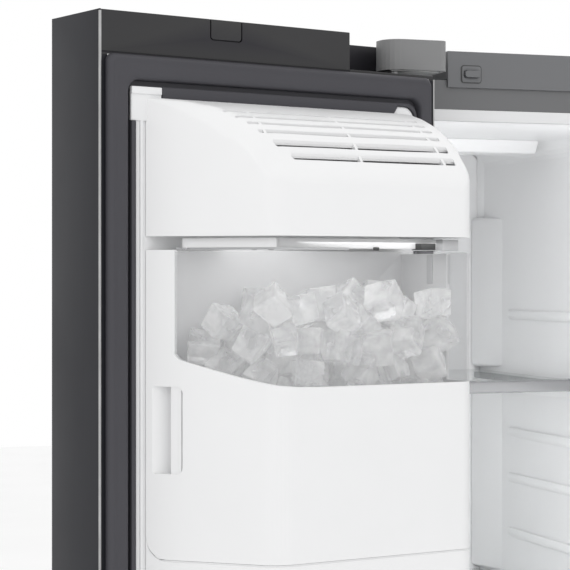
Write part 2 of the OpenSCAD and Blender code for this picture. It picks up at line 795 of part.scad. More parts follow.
module fridge_door_liner() color("#f4f5f6") on_fridge_door() {
    free = fridge_door_width + hinge_edge;
    door_liner(fridge_door_width, 1400);
    difference() {
        slab_yz(rounded([[raised_y - 1, dairy_low], [raised_y + dairy_depth - 8, dairy_low],
            [raised_y + dairy_depth - 8, dairy_high - 60], [raised_y + 50, dairy_high],
            [raised_y - 1, dairy_high]], [0, 10, 0, 0, 0]), 46, free - 68);
        block([50, raised_y, dairy_low + 4], [free - 72, raised_y + dairy_depth, dairy_high - 4]);
        block([50, raised_y + 40, dairy_low + 30], [free - 72, raised_y + dairy_depth, dairy_high + 1]);
        rod_x(45, free - 67, lid_hinge[0], lid_hinge[1], lid_rod_radius + running_gap);
    }
}

// Clear lid of the dairy compartment, hinged on a rod along its upper edge
module dairy_lid() color("#dfe6e8", 0.5) on_fridge_door() {
    free = fridge_door_width + hinge_edge;
    y = raised_y + dairy_depth - 6;
    back = lid_hinge[0];
    top = lid_hinge[1];
    slab_yz([[back, top], [back + 8, top], [y, dairy_high - 62], [y, dairy_low + 16],
        [y + 2.5, dairy_low + 16], [y + 2.5, dairy_high - 60], [back + 9, top + 2.5], [back, top + 2.5]],
        54, free - 76);
    rod_x(47, free - 69, lid_hinge[0], lid_hinge[1], lid_rod_radius);
}

module fridge_door_gasket() color("#58575c") on_fridge_door() door_gasket(fridge_door_width);

module fridge_door_handle() color("#2d2e31") on_fridge_door() door_handle(fridge_door_width);

module fridge_door_bins() color("#e9edef", 0.8)
    on_fridge_door() door_bins(fridge_door_width, [1200, 930, 640, 350, 140], 108, 120);

// ---- dispenser in the freezer door ---------------------------------------

module dispenser_housing() color("#2a2b2e") on_freezer_door() {
    difference() {
        block([recess_x0, skin_y, recess_low], [recess_x1, recess_back, recess_high]);
        block([recess_x0 + 3, skin_y - 1, recess_low + 14], [recess_x1 - 3, recess_back - 3, recess_high - 4]);
        for (i = [0:14])
            block([recess_x0 + 16 + i * 14, skin_y + 8, recess_low + 6],
                [recess_x0 + 24 + i * 14, recess_back - 12, recess_low + 15]);
        block([chute_x0 + 3, recess_back - 4, chute_low + 3], [chute_x1 - 3, recess_back + 1, chute_high - 3]);
    }
    for (x = [chute_x0 - 6, chute_x1]) difference() {
        block([x, paddle_pivot[0] - 6, paddle_pivot[1] - 8], [x + 6, recess_back - 2, recess_high - 3]);
        rod_x(x - 1, x + 7, paddle_pivot[0], paddle_pivot[1], 3 + running_gap);
    }
}

module dispenser_display() color("#101114") on_freezer_door()
    block([recess_x0, skin_y - 0.5, recess_high], [recess_x1, skin_y + 5, display_high]);

module dispenser_paddle() color("#55575a") on_freezer_door() {
    y = paddle_pivot[0];
    z = paddle_pivot[1];
    rod_x(chute_x0 - 5, chute_x1 + 5, y, z, 3);
    slab_xz(rounded_rectangle(chute_x0 + 8, z - 116, chute_x1 - 8, z + 1, 9), y - 2, y + 2);
}

// ---- ice unit on the freezer door ----------------------------------------

// Corners of the ice unit's plan: a slanted side towards the free edge, so that it clears
// the cabinet as the door swings, and a front that leans out towards the hinge
unit_corners = [[337, unit_back], [262, 158.8], [45, 180.2], [32, unit_back]];

module unit_solid(shrink, z0, z1) {
    corners = inset(unit_corners, shrink);
    slab_xy(rounded(corners, [0, 35 - shrink, 14 - shrink, 0], 8), z0, z1);
}

// Side view of the hood: a vertical front and a top that slopes up to the door
module hood_side(shrink)
    slab_yz([[unit_back - 20, hood_bottom - 5 - shrink], [200, hood_bottom - 5 - shrink], [200, 1600],
        [172 - shrink, 1632 - shrink], [unit_back - 20, 1710 - shrink * 1.15]], 0, 400);

module ice_maker_hood() color("#f6f7f8") on_freezer_door() {
    louvre = [for (i = [0:6]) unit_back + 12 + i * 14];
    difference() {
        intersection() {
            unit_solid(0, hood_bottom, 1710);
            hood_side(0);
        }
        intersection() {
            translate([0, -3, 0]) unit_solid(2.5, hood_bottom - 1, 1710);
            hood_side(2.5);
        }
        for (y = louvre) block([70, y, 1620], [250, y + 8, 1712]);
    }
    for (x = [120, 190]) difference() {
        intersection() {
            block([x, unit_back, 1620], [x + 3, 160, 1712]);
            hood_side(0.6);
        }
        hood_side(4);
    }
    block([36, unit_back, hood_bottom], [40, unit_back + 12, 1700]);
}

// Ice mould with its drive box, hung from the door inside the hood
module ice_maker() color("#8d9093") on_freezer_door() {
    y = ejector_pivot[0];
    z = ejector_pivot[1];
    difference() {
        block([maker_x0, y - 28, z - 37], [maker_x1, y + 28, z + 6]);
        rod_x(maker_x0 + 4, maker_x1 - 4, y, z, 23);
        block([maker_x0 + 4, y - 23, z], [maker_x1 - 4, y + 23, z + 7]);
        rod_x(maker_x0 - 1, maker_x0 + 5, y, z, 3 + running_gap);
        rod_x(maker_x1 - 5, maker_x1 + 8, y, z, 3 + running_gap);
    }
    difference() {
        block([maker_x1, y - 26, z - 37], [maker_x1 + 40, y + 18, z + 22]);
        rod_x(maker_x1 - 1, maker_x1 + 10, y, z, 3 + running_gap);
    }
    block([maker_x0, raised_y, z + 1], [maker_x1 + 40, y - 25, z + 5]);
}

module ice_ejector() color("#c9ccce") on_freezer_door() {
    y = ejector_pivot[0];
    z = ejector_pivot[1];
    rod_x(maker_x0 + 1, maker_x1 + 6, y, z, 3);
    for (i = [0:6]) block([maker_x0 + 14 + i * 22, y - 1.5, z], [maker_x0 + 18 + i * 22, y + 1.5, z + 19]);
}

// Fixed base under the bin: it holds the auger's drive and the chute to the dispenser
module ice_bin_base() color("#f4f5f6") on_freezer_door() {
    difference() {
        unit_solid(0, base_bottom, bin_bottom - 2);
        unit_solid(2.5, base_bottom + 3, bin_bottom - 5);
        rod_z(bin_bottom - 6, bin_bottom, outlet_place[0], outlet_place[1], 22);
        block([chute_x0 + 3, unit_back - 1, chute_low + 3], [chute_x1 - 3, unit_back + 6, chute_high - 3]);
    }
    difference() {
        block([chute_x0, recess_back, chute_low], [chute_x1, unit_back + 1, chute_high]);
        block([chute_x0 + 3, recess_back - 1, chute_low + 3], [chute_x1 - 3, unit_back + 6, chute_high - 3]);
    }
    rod_z(base_bottom + 2, bin_bottom - 4, auger_place[0], auger_place[1], 20);
}

// Finger pocket of the bin: its ends along the slanted side, its depth and its heights
pocket_start = 6;
pocket_end = 36;
pocket_depth = 12;
pocket_low = 1351;
pocket_high = 1430;

// Ice bin: a deep tub whose upper walls are the window, with a finger pocket in the slanted side
module ice_bin() color("#f6f7f8") on_freezer_door() {
    difference() {
        union() {
            difference() {
                unit_solid(0, bin_bottom, window_bottom);
                unit_solid(3, bin_bottom + 3, window_bottom + 1);
            }
            difference() {
                unit_solid(0, window_bottom - 1, bin_top + 3);
                translate([0, 6, 0]) unit_solid(3, window_bottom - 2, bin_top + 4);
                block([0, unit_back + 6, window_bottom - 2], [400, 200, bin_top + 4]);
            }
            finger_pocket(3);
        }
        finger_pocket(0);
        rod_z(bin_bottom - 1, bin_bottom + 4, auger_place[0], auger_place[1], pin_radius + running_gap);
        rod_z(bin_bottom - 1, bin_bottom + 4, outlet_place[0], outlet_place[1], 20);
    }
}

// The pocket is a wedge in the slanted side, deepest at its end towards the hinge
module finger_pocket(grow) {
    side = unit_corners[1] - unit_corners[0];
    mouth = grow > 0 ? 0.5 : -1;
    high = min(pocket_high + grow, window_bottom - 1);
    translate([unit_corners[0][0], unit_corners[0][1], pocket_low - grow])
        rotate([0, 0, atan2(side[1], side[0])])
        linear_extrude(high - pocket_low + grow)
            polygon([[pocket_start - grow, mouth], [pocket_end + grow, mouth],
                [pocket_end + grow, pocket_depth + grow], [pocket_end - 3 - grow, pocket_depth + grow],
                [pocket_start - grow, grow / 2]]);
}

module ice_bin_window() color("#b8babd", 0.5) on_freezer_door() difference() {
    unit_solid(0, window_bottom, bin_top);
    unit_solid(2.5, window_bottom - 1, bin_top + 1);
    block([0, 0, window_bottom - 1], [400, unit_back + 6, bin_top + 1]);
}

module ice_auger() color("#9b9da0") on_freezer_door() {
    x = auger_place[0];
    y = auger_place[1];
    rod_z(bin_bottom + 0.5, 1396, x, y, pin_radius);
    for (i = [0:4]) translate([x, y, bin_bottom + 16 + i * 24]) rotate([0, 0, i * 40])
        rod_x(-40, 40, 0, 0, 3);
}

// ---- drawing -------------------------------------------------------------

outer_case();
rear_panel();
cabinet_foam();
freezer_liner();
fridge_liner();
top_cap_strip();
hinge_covers();
upper_hinges();
lower_hinges();
base_frame();
kick_grille();
machine_cover();
compressor();
condenser();
fan_shroud();
evaporator();
evaporator_cover();
air_tower();
lamp_covers();
shelf_glass();
shelf_trims();
power_inlet();
water_valve();
left_switch_button();
right_switch_button();
freezer_basket_upper();
freezer_basket_lower();
crisper_upper();
crisper_lower();
evaporator_fan();
condenser_fan();
left_roller();
right_roller();
left_foot();
right_foot();
freezer_door_skin();
freezer_door_foam();
freezer_door_caps();
freezer_door_liner();
freezer_door_gasket();
freezer_door_handle();
freezer_door_bins();
dispenser_housing();
dispenser_display();
dispenser_paddle();
ice_maker_hood();
ice_maker();
ice_ejector();
ice_bin_base();
ice_bin();
ice_bin_window();
ice_auger();
fridge_door_skin();
fridge_door_foam();
fridge_door_caps();
fridge_door_liner();
fridge_door_gasket();
fridge_door_handle();
fridge_door_bins();
dairy_lid();
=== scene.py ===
"""Side by side refrigerator with its freezer door wide open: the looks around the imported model.

The door pieces are drawn in the door's own closed frame, in millimetres: the hinge axis at
the origin, the free edge at +X and the inner face towards +Y. A Place puts them in the row.
"""
import json
import math
import random

import bmesh
import bpy
from mathutils import Matrix, Vector, noise


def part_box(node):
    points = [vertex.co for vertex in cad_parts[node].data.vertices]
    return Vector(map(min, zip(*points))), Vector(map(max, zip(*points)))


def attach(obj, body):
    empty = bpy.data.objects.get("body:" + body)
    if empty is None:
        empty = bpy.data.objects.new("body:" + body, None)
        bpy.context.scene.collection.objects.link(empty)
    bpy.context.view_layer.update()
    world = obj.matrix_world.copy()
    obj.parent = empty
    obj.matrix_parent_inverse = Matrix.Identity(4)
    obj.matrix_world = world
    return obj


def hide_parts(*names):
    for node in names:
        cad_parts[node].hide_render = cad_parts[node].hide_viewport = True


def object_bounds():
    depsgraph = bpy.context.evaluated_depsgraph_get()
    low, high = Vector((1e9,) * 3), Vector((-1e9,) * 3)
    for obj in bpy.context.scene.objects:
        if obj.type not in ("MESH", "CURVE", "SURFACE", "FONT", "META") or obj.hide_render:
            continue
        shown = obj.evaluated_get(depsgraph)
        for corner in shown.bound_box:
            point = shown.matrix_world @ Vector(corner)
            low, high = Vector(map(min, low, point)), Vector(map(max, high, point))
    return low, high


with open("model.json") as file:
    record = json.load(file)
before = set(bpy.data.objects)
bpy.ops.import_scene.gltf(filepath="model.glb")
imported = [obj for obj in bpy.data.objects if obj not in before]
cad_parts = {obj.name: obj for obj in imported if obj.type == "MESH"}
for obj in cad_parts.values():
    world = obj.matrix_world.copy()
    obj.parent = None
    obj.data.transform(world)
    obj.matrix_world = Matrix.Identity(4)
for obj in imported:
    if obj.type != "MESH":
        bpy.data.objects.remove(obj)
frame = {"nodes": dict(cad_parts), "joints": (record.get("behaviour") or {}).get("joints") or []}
cad_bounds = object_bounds()

MM = 0.001
ARC_STEPS = 8
CIRCLE_STEPS = 32


# ---- places ----


class Place:
    """A frame drawn in millimetres, and where it stands in the row frame."""

    def __init__(self, matrix):
        self.matrix = matrix
        self.inverse = matrix.inverted()
        self.mirrored = matrix.determinant() < 0

    def box(self, node):
        """Lowest and highest corner of a CAD node, in this frame's millimetres."""
        points = [self.inverse @ v.co for v in frame["nodes"][node].data.vertices]
        low = Vector([min(p[i] for p in points) for i in range(3)])
        high = Vector([max(p[i] for p in points) for i in range(3)])
        return low, high


def door_place(joint_name, hand):
    """The closed frame of a door, from its hinge: hand is -1 for a hinge on the right."""
    joint = next(j for j in frame["joints"] if j["name"] == joint_name)
    pivot = Vector(joint["pos_m"])
    turn = math.radians(joint["range_deg"][0]) * hand
    mirror = Matrix.Diagonal((hand, 1, 1, 1))
    return Place(
        Matrix.Translation(Vector((pivot.x, pivot.y, 0)))
        @ Matrix.Rotation(turn, 4, "Z")
        @ mirror
        @ Matrix.Scale(MM, 4)
    )


cabinet = Place(Matrix.Scale(MM, 4))
freezer = door_place("freezer_door_swing", 1)
fridge = door_place("fridge_door_swing", -1)


# ---- outlines ----


def rectangle(x0, y0, x1, y1):
    return [Vector((x0, y0)), Vector((x1, y0)), Vector((x1, y1)), Vector((x0, y1))]


def arc_corner(before, at, after, radius, steps):
    """Points of the arc that rounds one corner of an outline."""
    u = (before - at).normalized()
    w = (after - at).normalized()
    half = math.acos(max(-1.0, min(1.0, u.dot(w)))) / 2
    centre = at + (u + w).normalized() * (radius / math.sin(half))
    start = at + u * (radius / math.tan(half)) - centre
    end = at + w * (radius / math.tan(half)) - centre
    first = math.atan2(start.y, start.x)
    sweep = math.remainder(math.atan2(end.y, end.x) - first, math.tau)
    angles = [first + sweep * i / steps for i in range(steps + 1)]
    return [centre + Vector((math.cos(a), math.sin(a))) * radius for a in angles]


def rounded(points, radii, steps=ARC_STEPS):
    points = [Vector(p) for p in points]
    if not isinstance(radii, (list, tuple)):
        radii = [radii] * len(points)
    made = []
    for i, at in enumerate(points):
        if radii[i] <= 0:
            made.append(at)
        else:
            made += arc_corner(points[i - 1], at, points[(i + 1) % len(points)], radii[i], steps)
    return made


def inset(points, distance):
    """A convex outline moved inwards by a distance."""
    points = [Vector(p) for p in points]
    made = []
    for i, at in enumerate(points):
        u = (points[i - 1] - at).normalized()
        w = (points[(i + 1) % len(points)] - at).normalized()
        half = math.acos(max(-1.0, min(1.0, u.dot(w)))) / 2
        made.append(at + (u + w).normalized() * (distance / math.sin(half)))
    return made


def circle(x, y, radius):
    angles = [math.tau * i / CIRCLE_STEPS for i in range(CIRCLE_STEPS)]
    return [Vector((x + radius * math.cos(a), y + radius * math.sin(a))) for a in angles]


# ---- meshes in millimetres ----

ALONG = {
    "x": lambda p, t: (t, p[0], p[1]),
    "y": lambda p, t: (p[0], t, p[1]),
    "z": lambda p, t: (p[0], p[1], t),
}


def mesh_of(bm, name="shape"):
    bmesh.ops.recalc_face_normals(bm, faces=bm.faces)
    mesh = bpy.data.meshes.new(name)
    bm.to_mesh(mesh)
    bm.free()
    return mesh


def prism(outline, low, high, axis="z"):
    """An outline drawn across an axis and pulled along it from low to high."""
    bm = bmesh.new()
    ends = [[bm.verts.new(ALONG[axis](p, t)) for p in outline] for t in (low, high)]
    bm.faces.new(ends[0])
    bm.faces.new(ends[1])
    count = len(outline)
    for i in range(count):
        j = (i + 1) % count
        bm.faces.new((ends[0][i], ends[0][j], ends[1][j], ends[1][i]))
    return mesh_of(bm)


def block(low, high):
    """A box between two corners."""
    return prism(rectangle(low[0], low[1], high[0], high[1]), low[2], high[2])


def rod(low, high, centre, radius):
    """An upright round bar."""
    return prism(circle(centre[0], centre[1], radius), low, high)


def strip(rings, closed=False):
    """A skin over rings of points of equal length, capped at its ends or closed on itself."""
    bm = bmesh.new()
    made = [[bm.verts.new(p) for p in ring] for ring in rings]
    count = len(rings[0])
    spans = list(zip(made, made[1:]))
    if closed:
        spans.append((made[-1], made[0]))
    else:
        bm.faces.new(made[0])
        bm.faces.new(made[-1])
    for a, b in spans:
        for i in range(count):
            j = (i + 1) % count
            bm.faces.new((a[i], a[j], b[j], b[i]))
    return mesh_of(bm)


def merged(*meshes):
    """Separate shells kept as one mesh."""
    bm = bmesh.new()
    for mesh in meshes:
        bm.from_mesh(mesh)
    return mesh_of(bm)


def held(mesh):
    """A scratch object that carries a mesh while modifiers work on it."""
    obj = bpy.data.objects.new("scratch", mesh)
    bpy.context.scene.collection.objects.link(obj)
    return obj


def settled(obj, *others):
    """The object's mesh with its modifiers applied; the scratch objects go."""
    graph = bpy.context.evaluated_depsgraph_get()
    mesh = bpy.data.meshes.new_from_object(obj.evaluated_get(graph), depsgraph=graph)
    for scratch in (obj, *others):
        bpy.data.objects.remove(scratch)
    return mesh


def combined(operation, base, tools):
    """A boolean of the base with each tool in turn."""
    obj = held(base)
    others = [held(t) for t in tools]
    for other in others:
        step = obj.modifiers.new("step", "BOOLEAN")
        step.operation = operation
        step.solver = "MANIFOLD"
        step.object = other
    return settled(obj, *others)


def cut(base, *tools):
    return combined("DIFFERENCE", base, tools)


def joined(base, *tools):
    return combined("UNION", base, tools)


def eased(mesh, width=1.0, segments=3, angle=32):
    """Rounds the mesh's hard edges."""
    obj = held(mesh)
    step = obj.modifiers.new("ease", "BEVEL")
    step.width = width
    step.segments = segments
    step.limit_method = "ANGLE"
    step.angle_limit = math.radians(angle)
    step.harden_normals = False
    return settled(obj)


# ---- materials ----


class Look:
    """One procedural material and the nodes that give it grain, wear and gloss."""

    def __init__(self, name, roughness=0.4, metallic=0.0, specular=0.5):
        self.material = bpy.data.materials.new(name)
        self.material.use_nodes = True
        self.tree = self.material.node_tree
        self.shader = self.tree.nodes["Principled BSDF"]
        self.shader.inputs["Roughness"].default_value = roughness
        self.shader.inputs["Metallic"].default_value = metallic
        self.shader.inputs["Specular IOR Level"].default_value = specular
        self.place = self.node("ShaderNodeTexCoord").outputs["Object"]

    def node(self, kind, **settings):
        made = self.tree.nodes.new(kind)
        for key, value in settings.items():
            setattr(made, key, value)
        return made

    def link(self, source, target):
        self.tree.links.new(source, target)

    def noise(self, scale, detail, stretch=None):
        """Noise in object space, drawn out along an axis where a stretch is given."""
        place = self.place
        if stretch:
            mapping = self.node("ShaderNodeMapping")
            mapping.inputs["Scale"].default_value = stretch
            self.link(place, mapping.inputs["Vector"])
            place = mapping.outputs["Vector"]
        made = self.node("ShaderNodeTexNoise")
        made.inputs["Scale"].default_value = scale
        made.inputs["Detail"].default_value = detail
        self.link(place, made.inputs["Vector"])
        return made.outputs["Fac"]

    def ramp(self, source, low, high, start=0.3, end=0.7):
        """Maps a source between two greys or colours."""
        made = self.node("ShaderNodeValToRGB")
        for stop, place, colour in zip(made.color_ramp.elements, (start, end), (low, high)):
            stop.position = place
            stop.color = colour if isinstance(colour, tuple) else (colour, colour, colour, 1)
        self.link(source, made.inputs["Fac"])
        return made.outputs["Color"]

    def mixed(self, share, low, high):
        """Mixes two colours, or sockets that carry one, by a share."""
        made = self.node("ShaderNodeMix", data_type="RGBA")
        self.link(share, made.inputs[0])
        for socket, value in ((made.inputs[6], low), (made.inputs[7], high)):
            if isinstance(value, tuple):
                socket.default_value = value
            else:
                self.link(value, socket)
        return made.outputs[2]

    def edges(self):
        """Bright where the surface is an outer edge, where hands and cloths rub it."""
        return self.ramp(self.node("ShaderNodeNewGeometry").outputs["Pointiness"], 0.0, 1.0, 0.52, 0.6)

    def bump(self, source, distance, strength):
        made = self.node("ShaderNodeBump")
        made.inputs["Strength"].default_value = strength
        made.inputs["Distance"].default_value = distance
        self.link(source, made.inputs["Height"])
        self.link(made.outputs["Normal"], self.shader.inputs["Normal"])

    def colour(self, source):
        self.link(source, self.shader.inputs["Base Color"])

    def roughness(self, source):
        self.link(source, self.shader.inputs["Roughness"])


def grey(level, tint=0.0):
    """A linear grey, a little blue with a positive tint."""
    return (level * (1 - tint), level * (1 - tint * 0.4), level * (1 + tint), 1)


def shaded(colour, share):
    """A colour brought down to a share of its strength."""
    return tuple(c * share for c in colour[:3]) + (1,)


def moulded(name, colour, roughness, grain, wear=None, specular=0.5):
    """Injection moulded plastic: fine spark-eroded grain, faint flow clouds, rubbed edges."""
    look = Look(name, roughness, specular=specular)
    shade = look.mixed(look.ramp(look.noise(9, 2), 0.0, 1.0, 0.1, 0.9), shaded(colour, 0.965), colour)
    if wear:
        shade = look.mixed(look.edges(), shade, wear)
    look.colour(shade)
    look.roughness(look.ramp(look.noise(12, 2), roughness - 0.04, roughness + 0.06, 0.1, 0.9))
    look.bump(look.noise(1900, 2), 0.00002 * grain, 0.3)
    return look.material


def painted(name, colour, roughness, wear=None):
    """Powder-coated or film-faced steel with a slight orange peel."""
    look = Look(name, roughness)
    tone = look.mixed(look.ramp(look.noise(5, 2), 0.0, 1.0), shaded(colour, 0.95), colour)
    if wear:
        tone = look.mixed(look.edges(), tone, wear)
    look.colour(tone)
    look.roughness(look.ramp(look.noise(26, 4), roughness - 0.02, roughness + 0.03))
    look.bump(look.noise(420, 2), 0.00005, 0.3)
    return look.material


def brushed(name, colour, roughness, metallic, specular):
    """Coated steel with a fine vertical brush: long grain lines, broken by finger smears."""
    look = Look(name, roughness, metallic, specular)
    lines = look.noise(900, 3, stretch=(1.0, 1.0, 0.006))
    look.colour(look.mixed(look.ramp(lines, 0.0, 1.0, 0.35, 0.65), shaded(colour, 0.86), colour))
    look.roughness(look.ramp(look.noise(7, 5), roughness - 0.07, roughness + 0.1))
    look.bump(lines, 0.00002, 0.35)
    return look.material


def metal(name, colour, roughness):
    """Bare or plated metal with drawn lines and dull patches."""
    look = Look(name, roughness, metallic=1.0)
    look.colour(look.mixed(look.ramp(look.noise(35, 5), 0.0, 1.0), shaded(colour, 0.8), colour))
    look.roughness(look.ramp(look.noise(90, 4), roughness - 0.1, roughness + 0.14))
    look.bump(look.noise(700, 2, stretch=(0.1, 1.0, 1.0)), 0.00003, 0.4)
    return look.material


def clear(name, colour, alpha, roughness, specular=0.5):
    """Clear or smoky plastic that shows what is behind it, with faint moulding swirls."""
    look = Look(name, roughness, specular=specular)
    look.colour(look.mixed(look.ramp(look.noise(14, 3), 0.0, 1.0), shaded(colour, 0.93), colour))
    look.shader.inputs["Alpha"].default_value = alpha
    look.roughness(look.ramp(look.noise(40, 4), roughness - 0.03, roughness + 0.05))
    look.bump(look.noise(22, 2), 0.0004, 0.12)
    return look.material


def ice_look():
    """Frozen water from a mould: clear rims, a cloudy heart with a faint painted glow, and a wet, uneven
    skin.
    """
    look = Look("ice", 0.12)
    cloud = look.noise(38, 4)
    look.colour(look.mixed(look.ramp(cloud, 0.0, 1.0, 0.4, 0.62), grey(0.97, 0.004), grey(1.0)))
    look.shader.inputs["IOR"].default_value = 1.31
    # Painted light: a faint even glow, though the cubes are no lamp, to brighten them in the dim bin
    look.shader.inputs["Emission Color"].default_value = (1, 1, 1, 1)
    look.shader.inputs["Emission Strength"].default_value = 0.045
    look.link(look.ramp(cloud, 0.84, 0.42, 0.4, 0.64), look.shader.inputs["Transmission Weight"])
    look.roughness(look.ramp(look.noise(55, 3), 0.02, 0.12))
    look.bump(look.noise(120, 3), 0.0008, 0.25)
    return look.material


def foam_look():
    """Rigid insulation foam: warm, matt and full of small cells."""
    look = Look("foam", 0.9)
    cells = look.node("ShaderNodeTexVoronoi")
    cells.inputs["Scale"].default_value = 420
    look.link(look.place, cells.inputs["Vector"])
    depth = cells.outputs["Distance"]
    look.colour(look.mixed(look.ramp(depth, 0.0, 1.0, 0.1, 0.6), (0.72, 0.6, 0.32, 1), (0.86, 0.77, 0.5, 1)))
    look.bump(depth, 0.0004, 0.6)
    return look.material


WHITE = grey(0.83, 0.006)
CHARCOAL = (0.016, 0.0165, 0.021, 1)
LOOKS = {
    "liner_white": moulded("liner_white", WHITE, 0.32, 0.6),
    "ice_white": moulded("ice_white", grey(0.86, 0.004), 0.3, 0.5),
    "case_steel": painted("case_steel", grey(0.155, 0.02), 0.42),
    "cap_grey": moulded("cap_grey", grey(0.165, 0.03), 0.45, 1.4),
    "hinge_grey": moulded("hinge_grey", grey(0.2, 0.015), 0.42, 1.4, grey(0.28)),
    "door_steel": brushed("door_steel", CHARCOAL, 0.38, 0.2, 0.25),
    "door_cap": moulded("door_cap", (0.017, 0.016, 0.021, 1), 0.45, 1.2, grey(0.035), 0.35),
    "gasket": moulded("gasket", (0.058, 0.057, 0.066, 1), 0.55, 0.8, None, 0.35),
    "steel_plate": metal("steel_plate", grey(0.5), 0.4),
    "frame_steel": painted("frame_steel", grey(0.09), 0.45, grey(0.2)),
    "fin_metal": metal("fin_metal", grey(0.62), 0.33),
    "black_metal": painted("black_metal", grey(0.022), 0.35, grey(0.08)),
    "cast_metal": metal("cast_metal", grey(0.55), 0.45),
    "dark_plastic": moulded("dark_plastic", grey(0.025), 0.45, 1.3, grey(0.06)),
    "rubber": moulded("rubber", grey(0.03), 0.75, 2.0),
    "foam": foam_look(),
    "trim_plastic": moulded("trim_plastic", grey(0.62, 0.01), 0.34, 0.7),
    "clear_plastic": clear("clear_plastic", grey(0.8, 0.02), 0.42, 0.12),
    "window_plastic": clear("window_plastic", grey(0.5, 0.02), 0.14, 0.06, 0.5),
    "shelf_edge": clear("shelf_edge", grey(0.3, 0.02), 0.6, 0.15),
    "shelf_glass": clear("shelf_glass", (0.74, 0.82, 0.8, 1), 0.16, 0.05, 0.8),
    "display_glass": moulded("display_glass", grey(0.008), 0.08, 0.05),
    "machine_board": painted("machine_board", grey(0.42), 0.55),
    "valve_plastic": moulded("valve_plastic", (0.78, 0.77, 0.72, 1), 0.45, 1.0),
}
ICE = ice_look()
OTHER_LOOKS = {"shelf_trims": "shelf_edge"}


# ---- pieces ----


def piece(name, mesh, place, body, slot, replaces=(), material=None, crease=38):
    """Puts a finished mesh in the row, on its body, with its finish."""
    mesh.transform(place.matrix)
    if place.mirrored:
        mesh.flip_normals()
    for face in mesh.polygons:
        face.use_smooth = True
    mesh.set_sharp_from_angle(angle=math.radians(crease))
    mesh.materials.clear()
    mesh.materials.append(material or LOOKS[slot])
    mesh.name = name
    obj = bpy.data.objects.new(name, mesh)
    bpy.context.scene.collection.objects.link(obj)
    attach(obj, body)
    if replaces:
        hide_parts(*replaces)


def dressed(node, slot, ease=0.0):
    """A CAD node that stays: its material, and a fine radius on its hard edges."""
    obj = frame["nodes"][node]
    obj.data.materials.clear()
    obj.data.materials.append(LOOKS[OTHER_LOOKS.get(node, slot)])
    if ease:
        weld = obj.modifiers.new("weld", "WELD")
        weld.merge_threshold = 0.00001
        flat = obj.modifiers.new("flat", "DECIMATE")
        flat.decimate_type = "DISSOLVE"
        flat.angle_limit = math.radians(0.6)
        soft = obj.modifiers.new("ease", "BEVEL")
        soft.width = ease * MM
        soft.segments = 2
        soft.limit_method = "ANGLE"
        soft.angle_limit = math.radians(32)
        soft.harden_normals = True


# ---- the camera, the lamps and the floor ----


CAMERA_PLACE = (-0.766, -1.907, 1.540)
CAMERA_TURN = -19.1
CAMERA_LENS = 115.7
CAMERA_SHIFT = -0.0246
# Each lamp's place, target, size and power
STUDIO_LAMPS = {
    "key": ((-2.6, -3.2, 3.4), (0.0, -0.3, 1.3), 2.4, 9),
    "fill": ((2.8, -3.4, 2.0), (0.3, 0.0, 1.0), 3.0, 3),
    "top": ((0.2, -1.0, 4.2), (0.2, 0.0, 1.0), 3.5, 4),
    "back": ((1.6, 3.6, 2.6), (0.4, 0.4, 1.0), 3.0, 8),
}
LINER_LAMPS = {"freezer_liner": 1.9, "fridge_liner": 2.4}
LINER_LAMP_TALL = 1.5
LINER_LAMP_MIDDLE = 0.95
BIN_LAMP = Vector((165, 112, 1567))
FLOOR_REACH = 14.0


def camera_stand():
    camera = bpy.data.objects.new("camera", bpy.data.cameras.new("camera"))
    camera.data.lens = CAMERA_LENS
    camera.data.shift_y = CAMERA_SHIFT
    camera.location = CAMERA_PLACE
    camera.rotation_euler = (math.radians(90), 0, math.radians(CAMERA_TURN))
    bpy.context.scene.collection.objects.link(camera)
    bpy.context.scene.camera = camera


def lamp(name, place, target, width, height, power):
    """A soft rectangular lamp that the camera doesn't see."""
    data = bpy.data.lights.new(name, "AREA")
    data.shape = "RECTANGLE"
    data.size = width
    data.size_y = height
    data.energy = power
    obj = bpy.data.objects.new(name, data)
    obj.location = place
    obj.rotation_euler = (Vector(target) - Vector(place)).to_track_quat("-Z", "Y").to_euler()
    obj.visible_camera = False
    bpy.context.scene.collection.objects.link(obj)


def lamps():
    """Studio lamps round the appliance, one at each compartment's mouth and one over the ice bin."""
    for name, (place, target, size, power) in STUDIO_LAMPS.items():
        lamp(name, place, target, size, size, power)
    for liner, power in LINER_LAMPS.items():
        low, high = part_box(liner)
        middle = ((low[0] + high[0]) / 2, low[1] + 0.003, LINER_LAMP_MIDDLE)
        inwards = (middle[0], 0.4, LINER_LAMP_MIDDLE)
        lamp(liner, middle, inwards, high[0] - low[0] - 0.06, LINER_LAMP_TALL, power)
    spot = freezer.matrix @ BIN_LAMP
    lamp("bin", spot, spot - Vector((0, 0, 1)), 0.2, 0.09, 0.075)


def surroundings():
    """White light from all round and a pale floor."""
    world = bpy.data.worlds.new("studio")
    world.use_nodes = True
    world.node_tree.nodes["Background"].inputs["Color"].default_value = (1, 1, 1, 1)
    world.node_tree.nodes["Background"].inputs["Strength"].default_value = 1.0
    bpy.context.scene.world = world
    bpy.context.scene.view_settings.view_transform = "Standard"

    low, high = cad_bounds
    bm = bmesh.new()
    bmesh.ops.create_grid(bm, x_segments=8, y_segments=8, size=FLOOR_REACH)
    floor = bpy.data.objects.new("floor", mesh_of(bm, "floor"))
    floor.location = ((low.x + high.x) / 2, (low.y + high.y) / 2, low.z - 0.0005)
    look = Look("floor", 0.6)
    look.colour(look.mixed(look.ramp(look.noise(1.5, 2), 0.0, 1.0), grey(0.93), grey(0.955)))
    look.bump(look.noise(60, 3), 0.0002, 0.2)
    floor.data.materials.append(look.material)
    bpy.context.scene.collection.objects.link(floor)


camera_stand()
lamps()
surroundings()


# ---- doors ----

# Thickness of the skin, heights of the two caps, rise of the liner's field and its corner radius
STEEL = 1.0
CAP_HEIGHT = 40
BASE_CAP_HEIGHT = 20
LINER_RISE = 6
FIELD_RADIUS = 14
PIN_RADIUS = 5.2
